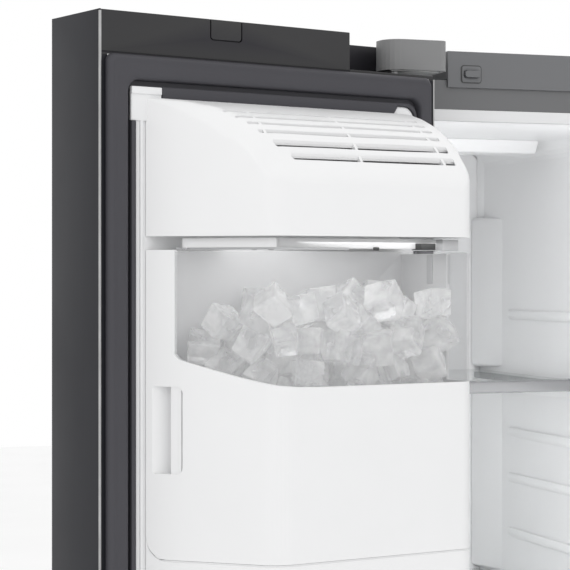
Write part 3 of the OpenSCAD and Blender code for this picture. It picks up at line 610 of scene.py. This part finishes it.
# How far the door's front stays clear of the hinge arm, and how far along the door
HINGE_SETBACK = 14
HINGE_NOTCH = 111


class Door:
    """The measures of one door, read from its CAD nodes."""

    def __init__(self, name, place):
        self.name = name
        self.place = place
        self.skin = place.box(f"{name}_skin")
        self.gasket = place.box(f"{name}_gasket")
        self.hinge_edge = self.skin[0].x
        self.free = self.skin[1].x
        self.front = self.skin[0].y
        self.inner = self.skin[1].y
        self.bottom = self.skin[0].z
        self.top = self.skin[1].z
        self.raised = self.inner + LINER_RISE
        self.cap = self.top - CAP_HEIGHT
        self.base_cap = self.bottom + BASE_CAP_HEIGHT
        self.field_hinge = 13
        self.field_free = self.free - 31
        self.field_low = self.gasket[0].z + 18
        self.field_high = self.gasket[1].z - 26.5

    def field(self, inside=0.0):
        """Edge of the liner's raised field, or a line some distance inside it."""
        return rectangle(
            self.field_hinge + inside, self.field_low + inside,
            self.field_free - inside, self.field_high - inside,
        )


# The gasket's height over the liner's flange, from its inner edge (0) to its outer edge (1)
GASKET_PROFILE = [
    (0.0, 0.0), (0.0, 6.4), (0.09, 6.4), (0.1, 1.2), (0.23, 1.2), (0.245, 7.4), (0.27, 9.6), (0.33, 10.6),
    (0.45, 10.7), (0.66, 10.1), (0.8, 9.9), (0.86, 10.2), (0.92, 9.0), (0.985, 6.0), (1.0, 2.0), (1.0, 0.0),
]


def door_gasket(door, body):
    """Magnetic bellows seal: a fat inner bead, a groove and a flat outer flange."""
    low, high = door.gasket
    inner = rounded(door.field(), FIELD_RADIUS, 10)
    outer = rounded(rectangle(low.x, low.z, high.x, door.cap - 0.4), 7, 10)
    rings = []
    for a, b in zip(inner, outer):
        ring = []
        for share, height in GASKET_PROFILE:
            p = a.lerp(b, share)
            ring.append((p.x, door.inner + height, p.y))
        rings.append(ring)
    mesh = strip(rings, closed=True)
    piece(f"{door.name}_seal", mesh, door.place, body, "gasket", [f"{door.name}_gasket"], crease=50)

    top = door.field_high
    right = door.field_free
    y0, y1 = door.raised - 1.5, door.raised + 3.2
    across = [(43, top - 8.5), (right - 31, top - 8.5), (right - 31, top + 2), (36, top + 2)]
    upper = eased(prism(rounded(across, [3, 0, 0, 3], 5), y0, y1, "y"), 0.8, 2)
    side = rectangle(right - 2.4, door.field_low + 60, right + 2.5, top - 30)
    lower = eased(prism(side, y0, y1, "y"), 0.8, 2)
    piece(f"{door.name}_seal_fins", merged(upper, lower), door.place, body, "gasket")

    corner = block((right - 30.4, y0, top - 30), (right + 2.4, y1 - 1.2, top + 1.6))
    ledge = block((right - 30.4, y1 - 1.6, top - 5.5), (right + 2.4, y1, top + 1.6))
    bead = block((right - 11, y0, door.field_low + 10), (right - 7.6, y1 - 1.4, top - 4))
    trim = merged(*[eased(part, 0.9, 3) for part in (corner, ledge, bead)])
    piece(f"{door.name}_liner_trim", trim, door.place, body, "liner_white")


def door_skin(door, body):
    """Folded steel skin with rounded front corners and a bright hem at its inner edges."""
    outer = rounded(rectangle(door.hinge_edge, door.front, door.free, door.inner), [3, 3, 0.6, 0.6], 5)
    hollow = rectangle(door.hinge_edge + STEEL, door.front + STEEL, door.free - STEEL, door.inner + 5)
    shell = cut(
        prism(outer, door.bottom, door.top),
        prism(rounded(hollow, [2, 2, 0, 0], 4), door.bottom - 1, door.top + 1),
        block(
            (door.hinge_edge - 1, door.front + HINGE_SETBACK, door.cap),
            (door.hinge_edge + 3, door.inner + 1, door.top + 1),
        ),
    )
    handle_low, handle_high = door.place.box(f"{door.name}_handle")
    opening = block(
        (door.free - 40, door.front - 1, handle_low.z),
        (door.free + 1, handle_high.y, handle_high.z),
    )
    tools = [opening]
    if door.name == "freezer_door":
        low, high = freezer.box("dispenser_housing")
        display_top = freezer.box("dispenser_display")[1].z
        tools.append(block((low.x, door.front - 1, low.z), (high.x, door.front + 2, display_top)))
    shell = cut(shell, *tools)
    returns = [
        block((x, door.inner - 1.6, door.base_cap + 1), (x + 7, door.inner - 0.3, door.cap + 0.6))
        for x in (door.hinge_edge + 1, door.free - 8.2)
    ]
    shell = merged(shell, *returns)
    piece(f"{door.name}_shell", shell, door.place, body, "door_steel", [f"{door.name}_skin"])
    for side, x in (("free", door.free - 1.6), ("hinge", door.hinge_edge)):
        high = door.top - 1.5 if side == "free" else door.cap - 1
        hem = block((x - 0.05, door.inner - 2.4, door.bottom + 1), (x + 1.65, door.inner + 0.25, high))
        piece(f"{door.name}_hem_{side}", eased(hem, 0.3, 2), door.place, body, "steel_plate")


def door_caps(door, body):
    """Top and bottom end caps: the clip tab of the top cap and the notch for the hinge."""
    x0, x1 = door.hinge_edge + 1.05, door.free - 1.05
    y0, y1 = door.front + 1.05, door.inner - 0.05
    notch_x = door.hinge_edge + HINGE_NOTCH
    notch_y = door.front + HINGE_SETBACK
    body_low, body_high = door.cap, door.top - 0.3
    outline = rounded(
        [(x0, y0), (x1, y0), (x1, y1), (notch_x, y1), (notch_x, notch_y), (x0, notch_y)],
        [2, 2, 1.2, 0.8, 2, 0.8], 4,
    )
    top = eased(prism(outline, body_low - 2.4, body_high), 0.9, 3)
    tab_x, tab_w, tab_h, gap = door.free - 156.5, 34.5, 19.0, 1.3
    tab = rectangle(tab_x, body_high - tab_h, tab_x + tab_w, body_high + 10)
    slot = rectangle(tab_x - gap, body_high - tab_h - gap, tab_x + tab_w + gap, body_high + 9)
    groove = cut(
        prism(rounded(slot, [4, 4, 0, 0], 5), y1 - 2.6, y1 + 2, "y"),
        prism(rounded(tab, [3, 3, 0, 0], 5), y1 - 3, y1 + 3, "y"),
    )
    over = block((tab_x - gap, y1 - 8, body_high - 1.6), (tab_x + tab_w + gap, y1 - 6.7, body_high + 1))
    step = block((x0 - 1, y1 - 0.9, body_low), (x1 + 1, y1 + 1, body_low + 1.8))
    top = cut(top, groove, over, step)
    hinge_pad = block((x0, notch_y - 1, body_low - 2.4), (notch_x + 0.5, y1, body_low + 2.4))
    bore = rod(body_low - 30, body_low + 10, (0, 0), PIN_RADIUS)
    pad = cut(eased(hinge_pad, 0.5, 2), bore)
    foot = rounded(rectangle(x0, y0, x1, y1), [2, 2, 1.2, 1.2], 4)
    base = eased(prism(foot, door.bottom + 0.3, door.base_cap), 0.9, 3)
    base = cut(base, rod(door.bottom - 1, door.base_cap - 1, (0, 0), PIN_RADIUS))
    core = block((x0 + 0.15, door.front + 6, door.cap - 21), (61, door.inner - 2.6, door.cap + 0.5))
    core = cut(core, bore)
    mesh = merged(top, pad, base, core)
    piece(f"{door.name}_end_caps", mesh, door.place, body, "door_cap", [f"{door.name}_caps"])


def ridge_outline(door, high):
    """Side view of the upright ridges that carry the door bins."""
    y = door.raised
    return rounded([(y - 1, 130), (y + 33.5, 150), (y + 33.5, high - 20), (y - 1, high)], [0, 10, 10, 0], 6)


def raised_field(door):
    """The liner's raised field: a soft cushion edge that rises from the flange."""
    rings = []
    for distance, height in ((0, -4.0), (0, 2.2), (0.6, 3.9), (1.8, 5.2), (3.8, 5.9), (6.5, LINER_RISE)):
        line = rounded(door.field(distance), max(FIELD_RADIUS - distance, 6), 8)
        rings.append([(p.x, door.inner + height, p.y) for p in line])
    return strip(rings)


# The hooks in the ridges that the door bins hang from
HOOK_LOWEST = 200
HOOK_SPACING = 62


def door_liner(door, body, ridge_high, opening):
    """White vacuum-formed liner: flange, soft raised field, bin ridges with their hooks."""
    flange = block(
        (door.hinge_edge + 8, door.inner - 2.4, door.base_cap + 1),
        (door.free - 8, door.inner, door.cap - 1),
    )
    parts = []
    for x in (30, door.free - 64):
        ridge = prism(ridge_outline(door, ridge_high), x, x + 12, "x")
        hooks = [
            block((x - 1, door.raised + 20, z), (x + 13, door.raised + 24, z + 26))
            for z in range(HOOK_LOWEST, ridge_high - 60, HOOK_SPACING)
        ]
        parts.append(eased(cut(ridge, *hooks), 1.4, 3))
    liner = joined(flange, raised_field(door))
    liner = cut(joined(liner, *parts), opening)
    name = f"{door.name}_inner_liner"
    piece(name, liner, door.place, body, "liner_white", [f"{door.name}_liner"], crease=45)


freezer_door = Door("freezer_door", freezer)
fridge_door = Door("fridge_door", fridge)

for made_door in (freezer_door, fridge_door):
    door_skin(made_door, made_door.name)
    door_caps(made_door, made_door.name)
    door_gasket(made_door, made_door.name)

# The ice chute through the door
CHUTE_WALL = 3
CHUTE = {"x0": 150, "x1": 214, "low": 1138, "high": 1188}
door_liner(
    freezer_door, "freezer_door", 1120,
    block(
        (CHUTE["x0"], freezer_door.inner - 9, CHUTE["low"]),
        (CHUTE["x1"], freezer_door.inner + 9, CHUTE["high"]),
    ),
)


# ---- ice unit ----

UNIT_BACK = freezer_door.raised + 1
UNIT_CORNERS = [(337, UNIT_BACK), (262, 158.8), (45, 180.2), (32, UNIT_BACK)]
UNIT_RADII = [0, 35, 14, 0]
HOOD_LOW = freezer.box("ice_maker_hood")[0].z + 3.0
BIN_LOW = freezer.box("ice_bin")[0].z
BIN_HIGH = freezer.box("ice_bin_window")[1].z
BASE_LOW = freezer.box("ice_bin_base")[0].z


def unit_path(shrink, past_back=0.0):
    """The unit's three visible sides in plan, from the free edge's side round to the hinge's."""
    radii = [0, UNIT_RADII[1] - shrink, max(UNIT_RADII[2] - shrink, 2), 0]
    corners = inset(UNIT_CORNERS, shrink) if shrink else [Vector(c) for c in UNIT_CORNERS]
    for end, neighbour in ((0, 1), (3, 2)):
        along = corners[end] - corners[neighbour]
        corners[end] = corners[end] + along * ((UNIT_BACK - past_back - corners[end].y) / along.y)
    return rounded(corners, radii)


class Wall:
    """The unit's side wall as a ribbon, with its length measured from the free edge's side."""

    def __init__(self, shrink, thickness):
        self.outer = unit_path(shrink)
        self.inner = unit_path(shrink + thickness)
        self.marks = [0.0]
        for a, b in zip(self.outer, self.outer[1:]):
            self.marks.append(self.marks[-1] + (b - a).length)
        self.end = self.marks[-1]

    def at(self, length):
        """The outer and the inner point at a length along the wall."""
        for i in range(len(self.marks) - 1):
            if length <= self.marks[i + 1]:
                break
        share = (length - self.marks[i]) / (self.marks[i + 1] - self.marks[i])
        return self.outer[i].lerp(self.outer[i + 1], share), self.inner[i].lerp(self.inner[i + 1], share)

    def stations(self, start, end, spacing=4.0):
        inside = [m for m in self.marks if start + 0.5 < m < end - 0.5]
        count = max(1, round((end - start) / spacing))
        even = [start + (end - start) * k / count for k in range(count + 1)]
        return sorted(set(inside + even))

    def ribbon(self, low, high, stations):
        rings = []
        for length in stations:
            o, i = self.at(length)
            bottom, top = low(length), high(length)
            rings.append([(o.x, o.y, bottom), (o.x, o.y, top), (i.x, i.y, top), (i.x, i.y, bottom)])
        return strip(rings)


def curve(marks, at):
    """Height read from a short list of places, straight between them."""
    for (a, za), (b, zb) in zip(marks, marks[1:]):
        if at <= b:
            return za + (zb - za) * (at - a) / (b - a)
    return marks[-1][1]


# Height of the hood's top at each row of its grille, a row being a distance from the hinge axis
HOOD_CROWN = [
    (45, 1701), (61, 1699.6), (76, 1697.4), (95, 1692), (111.6, 1685), (126, 1677), (137.6, 1667.5),
    (147, 1657.5), (155, 1645.5), (158, 1641), (170, 1626), (200, 1590),
]
HOOD_LEAN = 0.0986
MIDDLE_X = 150
HOOD_WALL = 2.6


def row_lean(row):
    """The rows of the grille run along the door at the back and along the leaning front at the lip."""
    share = max(0.0, min(1.0, (row - 60) / 98))
    return HOOD_LEAN * share ** 3


def row_point(x, row):
    return Vector((x, row - row_lean(row) * (x - MIDDLE_X)))


def hood_height(x, y):
    """Height of the hood's sloping top before its edges roll down."""
    row = y
    for _ in range(12):
        row = y + row_lean(row) * (x - MIDDLE_X)
    return curve(HOOD_CROWN, row)


def hood_roll(x, y):
    """Radius of the rolled edge: wide along the slanted side, small at the front and the hinge side."""
    side = min(20.0, 2 + 0.3 * (y - UNIT_BACK))
    to_free = max(0.0, min(1.0, (x - 250) / 40))
    return 7.0 + (side - 7.0) * to_free


def edge_distance(outline, p):
    best = 1e9
    for a, b in zip(outline, outline[1:]):
        ab = b - a
        t = max(0.0, min(1.0, (p - a).dot(ab) / ab.length_squared))
        best = min(best, (a + ab * t - p).length)
    return best


def hood_solid(shrink, low, past_back):
    """The hood's outer form, or the space inside it: upright sides and a top that rolls into them."""
    path = unit_path(shrink, past_back)
    line = []
    for a, b in zip(path, path[1:]):
        count = max(1, round((b - a).length / 5))
        line += [a.lerp(b, k / count) for k in range(count)]
    line.append(path[-1])
    total = len(line) - 1
    near = [0.0, 0.4, 1.2, 2.6, 4.6, 7.2, 10.4, 14.0, 20.0]
    rings = []
    for i, p in enumerate(line):
        q = Vector((path[0].x - 0.6 + (path[-1].x - path[0].x + 1.2) * i / total, path[0].y - 0.001))
        reach = (q - p).length
        shares = [d / max(reach, 40.0) for d in near]
        last = shares[-1]
        shares += [last + (1 - last) * k / 12 for k in range(1, 13)]
        ring = [(p.x, p.y, low)]
        for share in shares:
            r = p.lerp(q, share)
            roll = max(hood_roll(r.x, r.y) - shrink, 0.8)
            d = min(edge_distance(path, r), roll)
            fall = roll - math.sqrt(max(roll * roll - (roll - d) ** 2, 0.0))
            ring.append((r.x, r.y, hood_height(r.x, r.y) - fall - shrink * 1.15))
        ring.append((q.x, q.y, low))
        rings.append(ring)
    return strip(rings)


# First and last row of each slot of the grille, and where the slots end on the free side
SLOTS = [(104.5, 108.0), (115.3, 119.0), (125.3, 129.0), (134.6, 138.6), (144.2, 149.4), (153.0, 157.8)]
SLOT_FREE_ENDS = [(100, 290), (117, 280), (127, 273), (136, 267), (146, 257), (157, 238), (170, 220)]
SLOT_HINGE_END = 56
RIBS = [258, 164, 70]
RIB_ROWS = (103, 158)


def hood_slot(start, end):
    """Outline of one slot of the grille, from its upper row to its lower row."""
    line = [
        row_point(SLOT_HINGE_END, start), row_point(curve(SLOT_FREE_ENDS, start), start),
        row_point(curve(SLOT_FREE_ENDS, end), end), row_point(SLOT_HINGE_END + 2, end),
    ]
    return rounded(line, 1.5, 4)


def hood_grille():
    """Louvre blades that hang behind the slots' upper edges, and the ribs that carry them."""
    parts = []
    for start, _ in SLOTS:
        x0, x1 = SLOT_HINGE_END - 1, curve(SLOT_FREE_ENDS, start) + 1
        rings = []
        for k in range(15):
            edge = row_point(x0 + (x1 - x0) * k / 14, start)
            h = hood_height(edge.x, edge.y)
            rings.append([
                (edge.x, edge.y + 0.1, h - 0.8), (edge.x, edge.y - 1.5, h - 0.8),
                (edge.x, edge.y - 1.2, h - 5.2), (edge.x, edge.y - 0.3, h - 5.2),
            ])
        parts.append(strip(rings))
    for x in RIBS:
        rings = []
        last = RIB_ROWS[1] if x < 200 else 150
        for k in range(15):
            at = row_point(x, RIB_ROWS[0] + (last - RIB_ROWS[0]) * k / 14)
            h = hood_height(at.x, at.y)
            upper = [(x - 1.5, at.y, h - 0.7), (x + 1.5, at.y, h - 0.7)]
            rings.append(upper + [(x + 1.2, at.y, h - 9), (x - 1.2, at.y, h - 9)])
        parts.append(strip(rings))
    return merged(*parts)


def ice_maker_hood():
    shell = cut(hood_solid(0.0, HOOD_LOW, 0.0), hood_solid(HOOD_WALL, HOOD_LOW - 6, 4.0))
    shell = cut(shell, *[prism(hood_slot(*rows), 1600, 1716) for rows in SLOTS])
    piece("hood_shell", shell, freezer, "freezer_door", "ice_white", ["ice_maker_hood"], crease=35)
    piece("hood_louvres", hood_grille(), freezer, "freezer_door", "ice_white")


ice_maker_hood()

BASE_CORNER = 21.0
# Where the bin drops its ice, and the wheel that turns the auger
OUTLET = (245, 98)
OUTLET_RADIUS = 20
AUGER_AXIS = (182, 106)
WINDOW_START = 28.0
# Height of the window's lower edge along the wall
WINDOW_EDGE = [
    (27.5, 1464), (30, 1460.5), (36, 1457.6), (59.5, 1451.5), (83, 1445.6), (106, 1440.4), (129, 1436.3),
    (150, 1434.6), (170, 1434),
]
SEAM = 1.8


def bin_edge(length):
    """Lower edge of the bin: round at its corner by the door."""
    if length >= BASE_CORNER:
        return BIN_LOW
    return BIN_LOW + BASE_CORNER - math.sqrt(BASE_CORNER ** 2 - (BASE_CORNER - length) ** 2)


def window_edge(length):
    """Lower edge of the window: it climbs towards the free edge."""
    return curve(WINDOW_EDGE, length)


POCKET = {"start": 6.0, "end": 36.4, "low": BIN_LOW + 79, "high": BIN_LOW + 159.5, "corner": 6.0}
# Depth of the pocket, and of the wall behind it, from the pocket's start
POCKET_DEPTH = [
    (0, 0.02), (2, 0.8), (4, 2.4), (16, 14.5), (17.6, 14.5), (18.4, 1.4), (28.6, 1.4), (29, 4.5), (40, 4.5),
]
POCKET_BACK = [(0, 0.5), (4, 4), (16, 14.5), (22, 14.5), (27, 6), (60, 5)]


def pocket_cutter(grow, mouth):
    """Finger pocket in the slanted side: a deep scoop beside a grip strip that ends in a joint."""
    a, b = Vector(UNIT_CORNERS[0]), Vector(UNIT_CORNERS[1])
    along = (b - a).normalized()
    inwards = Vector((-along.y, along.x))
    start, end = POCKET["start"] - grow * 0.8, POCKET["end"] + grow
    corner = POCKET["corner"]
    inner = [start + mark for mark, _ in POCKET_DEPTH[:-1]]
    outer = [end - corner * (1 - math.sin(math.radians(15 * k))) for k in range(7)]
    rings = []
    for t in sorted(inner + outer):
        sink = grow + curve(POCKET_BACK if grow else POCKET_DEPTH, t - start)
        over = max(0.0, t - (end - corner))
        under = max(0.0, (start + corner * 0.5) - t)
        tuck = corner - math.sqrt(max(corner * corner - over * over, 0.0)) + under * under * 0.25
        low, high = POCKET["low"] - grow + tuck, POCKET["high"] + grow - tuck
        near = a + along * t + inwards * mouth
        far = a + along * t + inwards * sink
        rings.append([(*near, low), (*near, high), (*far, high), (*far, low)])
    return strip(rings)


def ice_bin():
    wall = Wall(0.0, 3.0)
    glazed_end = wall.end - 84
    step = 0.02
    frame_part = wall.stations(0.0, WINDOW_START, 1.5)
    glazed = wall.stations(WINDOW_START + step, glazed_end)
    plain = wall.stations(glazed_end + step, wall.end)

    def top(length):
        if length <= WINDOW_START:
            return BIN_HIGH + 1.5
        if length <= glazed_end:
            return window_edge(length)
        return BIN_HIGH - 1

    body = wall.ribbon(bin_edge, top, frame_part + glazed + plain)
    back = block((35, UNIT_BACK, BIN_LOW + 24), (332, UNIT_BACK + 4, BIN_HIGH + 1.5))
    floor = prism(unit_path(1.0), BIN_LOW + 0.2, BIN_LOW + 3.2)
    body = joined(body, back, floor)
    body = joined(body, pocket_cutter(2.2, 0.8))
    outlet = rod(BIN_LOW - 1, BIN_LOW + 4, OUTLET, OUTLET_RADIUS)
    body = cut(body, pocket_cutter(0.0, -2.0), outlet)
    body = eased(body, 0.7, 2, 50)
    piece("bin_body", body, freezer, "ice_bin_assembly", "ice_white", ["ice_bin"], crease=40)

    glass = Wall(0.15, 2.4)
    panes = glass.ribbon(
        lambda length: window_edge(length) + 0.4, lambda length: BIN_HIGH,
        glass.stations(WINDOW_START + 0.5, glazed_end + 10),
    )
    panes = eased(panes, 0.5, 2, 50)
    piece("bin_window", panes, freezer, "ice_bin_assembly", "window_plastic", ["ice_bin_window"])


def ice_bin_base():
    wall = Wall(0.0, 2.5)
    stations = wall.stations(0.0, BASE_CORNER, 1.5) + wall.stations(BASE_CORNER + 1, wall.end)
    skirt = wall.ribbon(lambda _: BASE_LOW, lambda length: bin_edge(length) - SEAM, stations)
    under = prism(unit_path(1.0), BASE_LOW, BASE_LOW + 3)
    deck = prism(unit_path(0.9), BIN_LOW - 5, BIN_LOW - 0.4)
    body = joined(skirt, under, deck)

    def bore(start):
        """The chute's inside, from a depth in the door to just past the base's back."""
        return block(
            (CHUTE["x0"] + CHUTE_WALL, start, CHUTE["low"] + CHUTE_WALL),
            (CHUTE["x1"] - CHUTE_WALL, UNIT_BACK + 6, CHUTE["high"] - CHUTE_WALL),
        )

    body = cut(
        body,
        rod(BIN_LOW - 6, BIN_LOW + 1, OUTLET, OUTLET_RADIUS + 2),
        bore(UNIT_BACK - 4),
    )
    body = eased(body, 0.7, 2, 50)
    y0 = freezer.box("dispenser_housing")[1].y
    tunnel = cut(
        block((CHUTE["x0"], y0, CHUTE["low"]), (CHUTE["x1"], UNIT_BACK + 1, CHUTE["high"])),
        bore(y0 - 1),
    )
    drive = rod(BASE_LOW + 2, BIN_LOW - 4, AUGER_AXIS, 20)
    base = merged(body, tunnel, drive)
    piece("bin_base", base, freezer, "freezer_door", "ice_white", ["ice_bin_base"], crease=40)


ice_bin()
ice_bin_base()


def under_hood():
    """What shows between the hood and the bin: the mould's tray, its rail, the drive and its lead."""
    tray_wall, back_wall, rail_wall = Wall(9.0, 3.0), Wall(22.0, 2.0), Wall(14.0, 3.0)
    tray = tray_wall.ribbon(lambda _: 1561.5, lambda _: 1570.5, tray_wall.stations(26, 118))
    back = back_wall.ribbon(lambda _: 1561, lambda _: 1570.5, back_wall.stations(30, back_wall.end - 96))
    piece("maker_tray", eased(merged(tray, back), 0.6, 2, 50), freezer, "freezer_door", "ice_white")
    rail = rail_wall.ribbon(lambda _: 1559.5, lambda _: 1562, rail_wall.stations(14, 190))
    drive = block((53, 118, 1559.5), (73, 165, 1570))
    stop = block((306, 70, 1559.5), (309, 76, 1569))
    rail = eased(merged(rail, drive, stop), 0.6, 2, 50)
    piece("maker_rail", rail, freezer, "freezer_door", "trim_plastic")
    fitting = block((79, 148, 1560), (97, 162, 1566.5))
    bits = [block((x, y, 1559.2), (x + 5, y + 4, 1562.4)) for x, y in ((262, 122), (246, 126), (140, 148))]
    piece("maker_lead", eased(merged(fitting, *bits), 0.8, 2, 50), freezer, "freezer_door", "dark_plastic")
    bars = [block((38.5, y, 1527), (42, y + 9, 1556)) for y in (104, 128)]
    piece("bin_guides", eased(merged(*bars), 0.8, 2, 50), freezer, "ice_bin_assembly", "trim_plastic")


under_hood()


# Size and shape of the cubes, how many are tried, and the space that they fill
ICE_SIZE = 28.0
ICE_STRETCH = ((0.85, 1.15), (0.85, 1.1), (0.8, 1.1))
ICE_TILT = 0.9
ICE_COUNT = 170
ICE_TRIES = 60
ICE_FLOOR = 1406.0
ICE_TOP = 1512
ICE_SEED = 11


def ice_cube(seed, size):
    """One cube from the mould: drafted sides and a melted, uneven skin."""
    draw = random.Random(seed)
    bm = bmesh.new()
    bmesh.ops.create_cube(bm, size=1.0)
    for v in bm.verts:
        taper = 0.86 if v.co.z < 0 else 1.0
        v.co.x *= taper
        v.co.y *= taper
        v.co += Vector([draw.uniform(-0.05, 0.05) for _ in range(3)])
    bmesh.ops.bevel(bm, geom=bm.edges[:], offset=0.07, segments=3, affect="EDGES", profile=0.5)
    stretch = Vector([size * draw.uniform(least, most) for least, most in ICE_STRETCH])
    for v in bm.verts:
        v.co += noise.noise_vector(v.co * 2.2 + Vector((seed * 3.1, 0, 0))) * 0.035
        v.co = Vector((v.co.x * stretch.x, v.co.y * stretch.y, v.co.z * stretch.z))
    turn = Matrix.Rotation(draw.uniform(0, math.tau), 4, "Z")
    for axis in "XY":
        turn = turn @ Matrix.Rotation(draw.uniform(-ICE_TILT, ICE_TILT), 4, axis)
    bm.transform(turn)
    return mesh_of(bm)


def held_inside(mesh, walls):
    """Presses a cube's points back where they would pass through the bin's walls."""
    for v in mesh.vertices:
        for a, b in zip(walls, walls[1:]):
            inwards = Vector((a.y - b.y, b.x - a.x)).normalized()
            past = (Vector((v.co.x, v.co.y)) - a).dot(inwards)
            if past < 0:
                v.co.x -= inwards.x * past
                v.co.y -= inwards.y * past


def ice_pile():
    """Cubes dropped into the bin one by one, each where it comes to lie lowest."""
    draw = random.Random(ICE_SEED)
    noise.seed_set(ICE_SEED)
    outline = [tuple(p) for p in rounded(inset(UNIT_CORNERS, 18), 8)]
    walls = unit_path(3.6)
    xs = [p[0] for p in outline]
    ys = [p[1] for p in outline]

    def inside(x, y):
        hit = False
        for (ax, ay), (bx, by) in zip(outline, outline[1:] + outline[:1]):
            if (ay > y) != (by > y) and x < (bx - ax) * (y - ay) / (by - ay) + ax:
                hit = not hit
        return hit

    radius = ICE_SIZE * 0.55
    placed, shells = [], []
    for n in range(ICE_COUNT):
        best = None
        for _ in range(ICE_TRIES):
            x, y = draw.uniform(min(xs), max(xs)), draw.uniform(min(ys), max(ys))
            if not inside(x, y):
                continue
            z = ICE_FLOOR + radius * 0.8
            for px, py, pz in placed:
                flat = (px - x) ** 2 + (py - y) ** 2
                if flat < (2 * radius) ** 2:
                    z = max(z, pz + math.sqrt((2 * radius) ** 2 - flat))
            if best is None or z < best[2]:
                best = (x, y, z)
        if best is None or best[2] > ICE_TOP:
            continue
        placed.append(best)
        cube = ice_cube(100 + n, ICE_SIZE * draw.uniform(0.9, 1.12))
        cube.transform(Matrix.Translation(best))
        held_inside(cube, walls)
        shells.append(cube)
    return merged(*shells)


piece("ice_cubes", ice_pile(), freezer, "ice_bin_assembly", "clear_plastic", material=ICE, crease=30)


# ---- forms of the cabinet ----


COVER_BACK = cabinet.box("evaporator_cover")[0].y + 7
FREEZER_WALLS = (cabinet.box("shelf_trims")[0].x - 3, cabinet.box("evaporator_cover")[1].x + 1)
CEILING = cabinet.box("evaporator_cover")[1].z + 1
RAMP_LOW = 664
RAMP_HIGH = 1613
SHELVES = [1405, 1130, 880, 640]
RIB_HEIGHTS = (1325, 1482, 1265, 1192, 1010, 760, 520)
RIB_THICKNESS = 2.4


def corner_wedge(wall_x, side, length, reach, low, high):
    """A slanted filling between a side wall and the rear cover."""
    buried = wall_x - side
    outline = [(buried, COVER_BACK - length), (wall_x + side * reach, COVER_BACK), (buried, COVER_BACK)]
    return prism(outline, low, high)


def liner_forms():
    """What the vacuum-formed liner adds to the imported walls: rear corner ramps and low ribs."""
    parts = []
    for wall_x, side in ((FREEZER_WALLS[0], 1), (FREEZER_WALLS[1], -1)):
        ramp = corner_wedge(wall_x, side, 74, 15, RAMP_LOW, RAMP_HIGH)
        parts.append(eased(corner_wedge(wall_x, side, 16, 6, RAMP_HIGH - 13, CEILING - 2), 3.0, 4, 25))
        notches = [
            block((wall_x - 40, COVER_BACK - 90, z - 14), (wall_x + 40, COVER_BACK + 10, z + 4))
            for z in SHELVES
        ]
        parts.append(eased(cut(ramp, *notches), 5.0, 5, 25))
        for z in RIB_HEIGHTS:
            outline = rounded(rectangle(-20, z - 6, COVER_BACK - 90, z + 6), 5.5, 5)
            parts.append(eased(prism(outline, 0, RIB_THICKNESS, "x"), 1.0, 2))
            parts[-1].transform(Matrix.Translation((wall_x if side > 0 else wall_x - RIB_THICKNESS, 0, 0)))
    piece("freezer_liner_forms", merged(*parts), cabinet, "cabinet", "liner_white", crease=45)


liner_forms()


SWITCH_FACE = cabinet.box("top_cap_strip")[0].y


def bezel(x, z, half_width, half_height, radius, front, back, steps=5):
    """A rounded plate round the middle of a switch."""
    outline = rectangle(x - half_width, z - half_height, x + half_width, z + half_height)
    return prism(rounded(outline, radius, steps), SWITCH_FACE + front, SWITCH_FACE + back, "y")


def switch_bezels():
    """A thin frame with a dark joint round each door switch in the cap strip."""
    for side in ("left", "right"):
        low, high = cabinet.box(f"{side}_switch_button")
        x, z = (low.x + high.x) / 2, (low.z + high.z) / 2
        hole = bezel(x, z, 9.3, 4.2, 3, -4, 4, steps=4)
        joint = cut(bezel(x, z, 12.5, 10, 3.5, -0.35, 0.5), hole)
        plate = cut(bezel(x, z, 11.3, 8.8, 2.6, -1.1, 0.5), hole)
        piece(f"{side}_switch_joint", joint, cabinet, "cabinet", "dark_plastic")
        piece(f"{side}_switch_bezel", eased(plate, 0.4, 2), cabinet, "cabinet", "cap_grey")


switch_bezels()


# ---- what stays as packed ----

# Each material's CAD nodes, and the radius in millimetres that eases their edges
KEPT = {
    "case_steel": {"outer_case": 0.8},
    "machine_board": {"rear_panel": 0.0, "machine_cover": 0.4},
    "foam": {"cabinet_foam": 0.0, "freezer_door_foam": 0.0, "fridge_door_foam": 0.0},
    "liner_white": {
        "freezer_liner": 1.0, "fridge_liner": 1.0, "fridge_door_liner": 1.2,
        "evaporator_cover": 1.0, "air_tower": 1.0, "lamp_covers": 1.0,
    },
    "hinge_grey": {"hinge_covers": 1.6},
    "steel_plate": {"upper_hinges": 0.5, "lower_hinges": 0.5},
    "frame_steel": {"base_frame": 0.6, "fan_shroud": 0.5},
    "black_metal": {"compressor": 1.0, "condenser": 0.0},
    "fin_metal": {"evaporator": 0.0},
    "cast_metal": {"ice_ejector": 0.4, "ice_auger": 0.4},
    "shelf_glass": {"shelf_glass": 0.4},
    "trim_plastic": {"shelf_trims": 0.6, "evaporator_fan": 0.3},
    "valve_plastic": {"water_valve": 0.6},
    "cap_grey": {
        "top_cap_strip": 0.8, "left_switch_button": 0.7, "right_switch_button": 0.7, "ice_maker": 0.8,
    },
    "clear_plastic": {
        "freezer_basket_upper": 0.8, "freezer_basket_lower": 0.8, "crisper_upper": 0.8, "crisper_lower": 0.8,
        "freezer_door_bins": 0.8, "fridge_door_bins": 0.8, "dairy_lid": 0.5,
    },
    "dark_plastic": {
        "kick_grille": 0.0, "power_inlet": 0.5, "condenser_fan": 0.3, "left_foot": 0.6, "right_foot": 0.6,
        "freezer_door_handle": 0.8, "fridge_door_handle": 0.8, "dispenser_housing": 0.0,
    },
    "rubber": {"left_roller": 1.0, "right_roller": 1.0, "dispenser_paddle": 0.8},
    "display_glass": {"dispenser_display": 0.4},
}
for kept_slot, kept_nodes in KEPT.items():
    for kept_node, kept_ease in kept_nodes.items():
        dressed(kept_node, kept_slot, kept_ease)
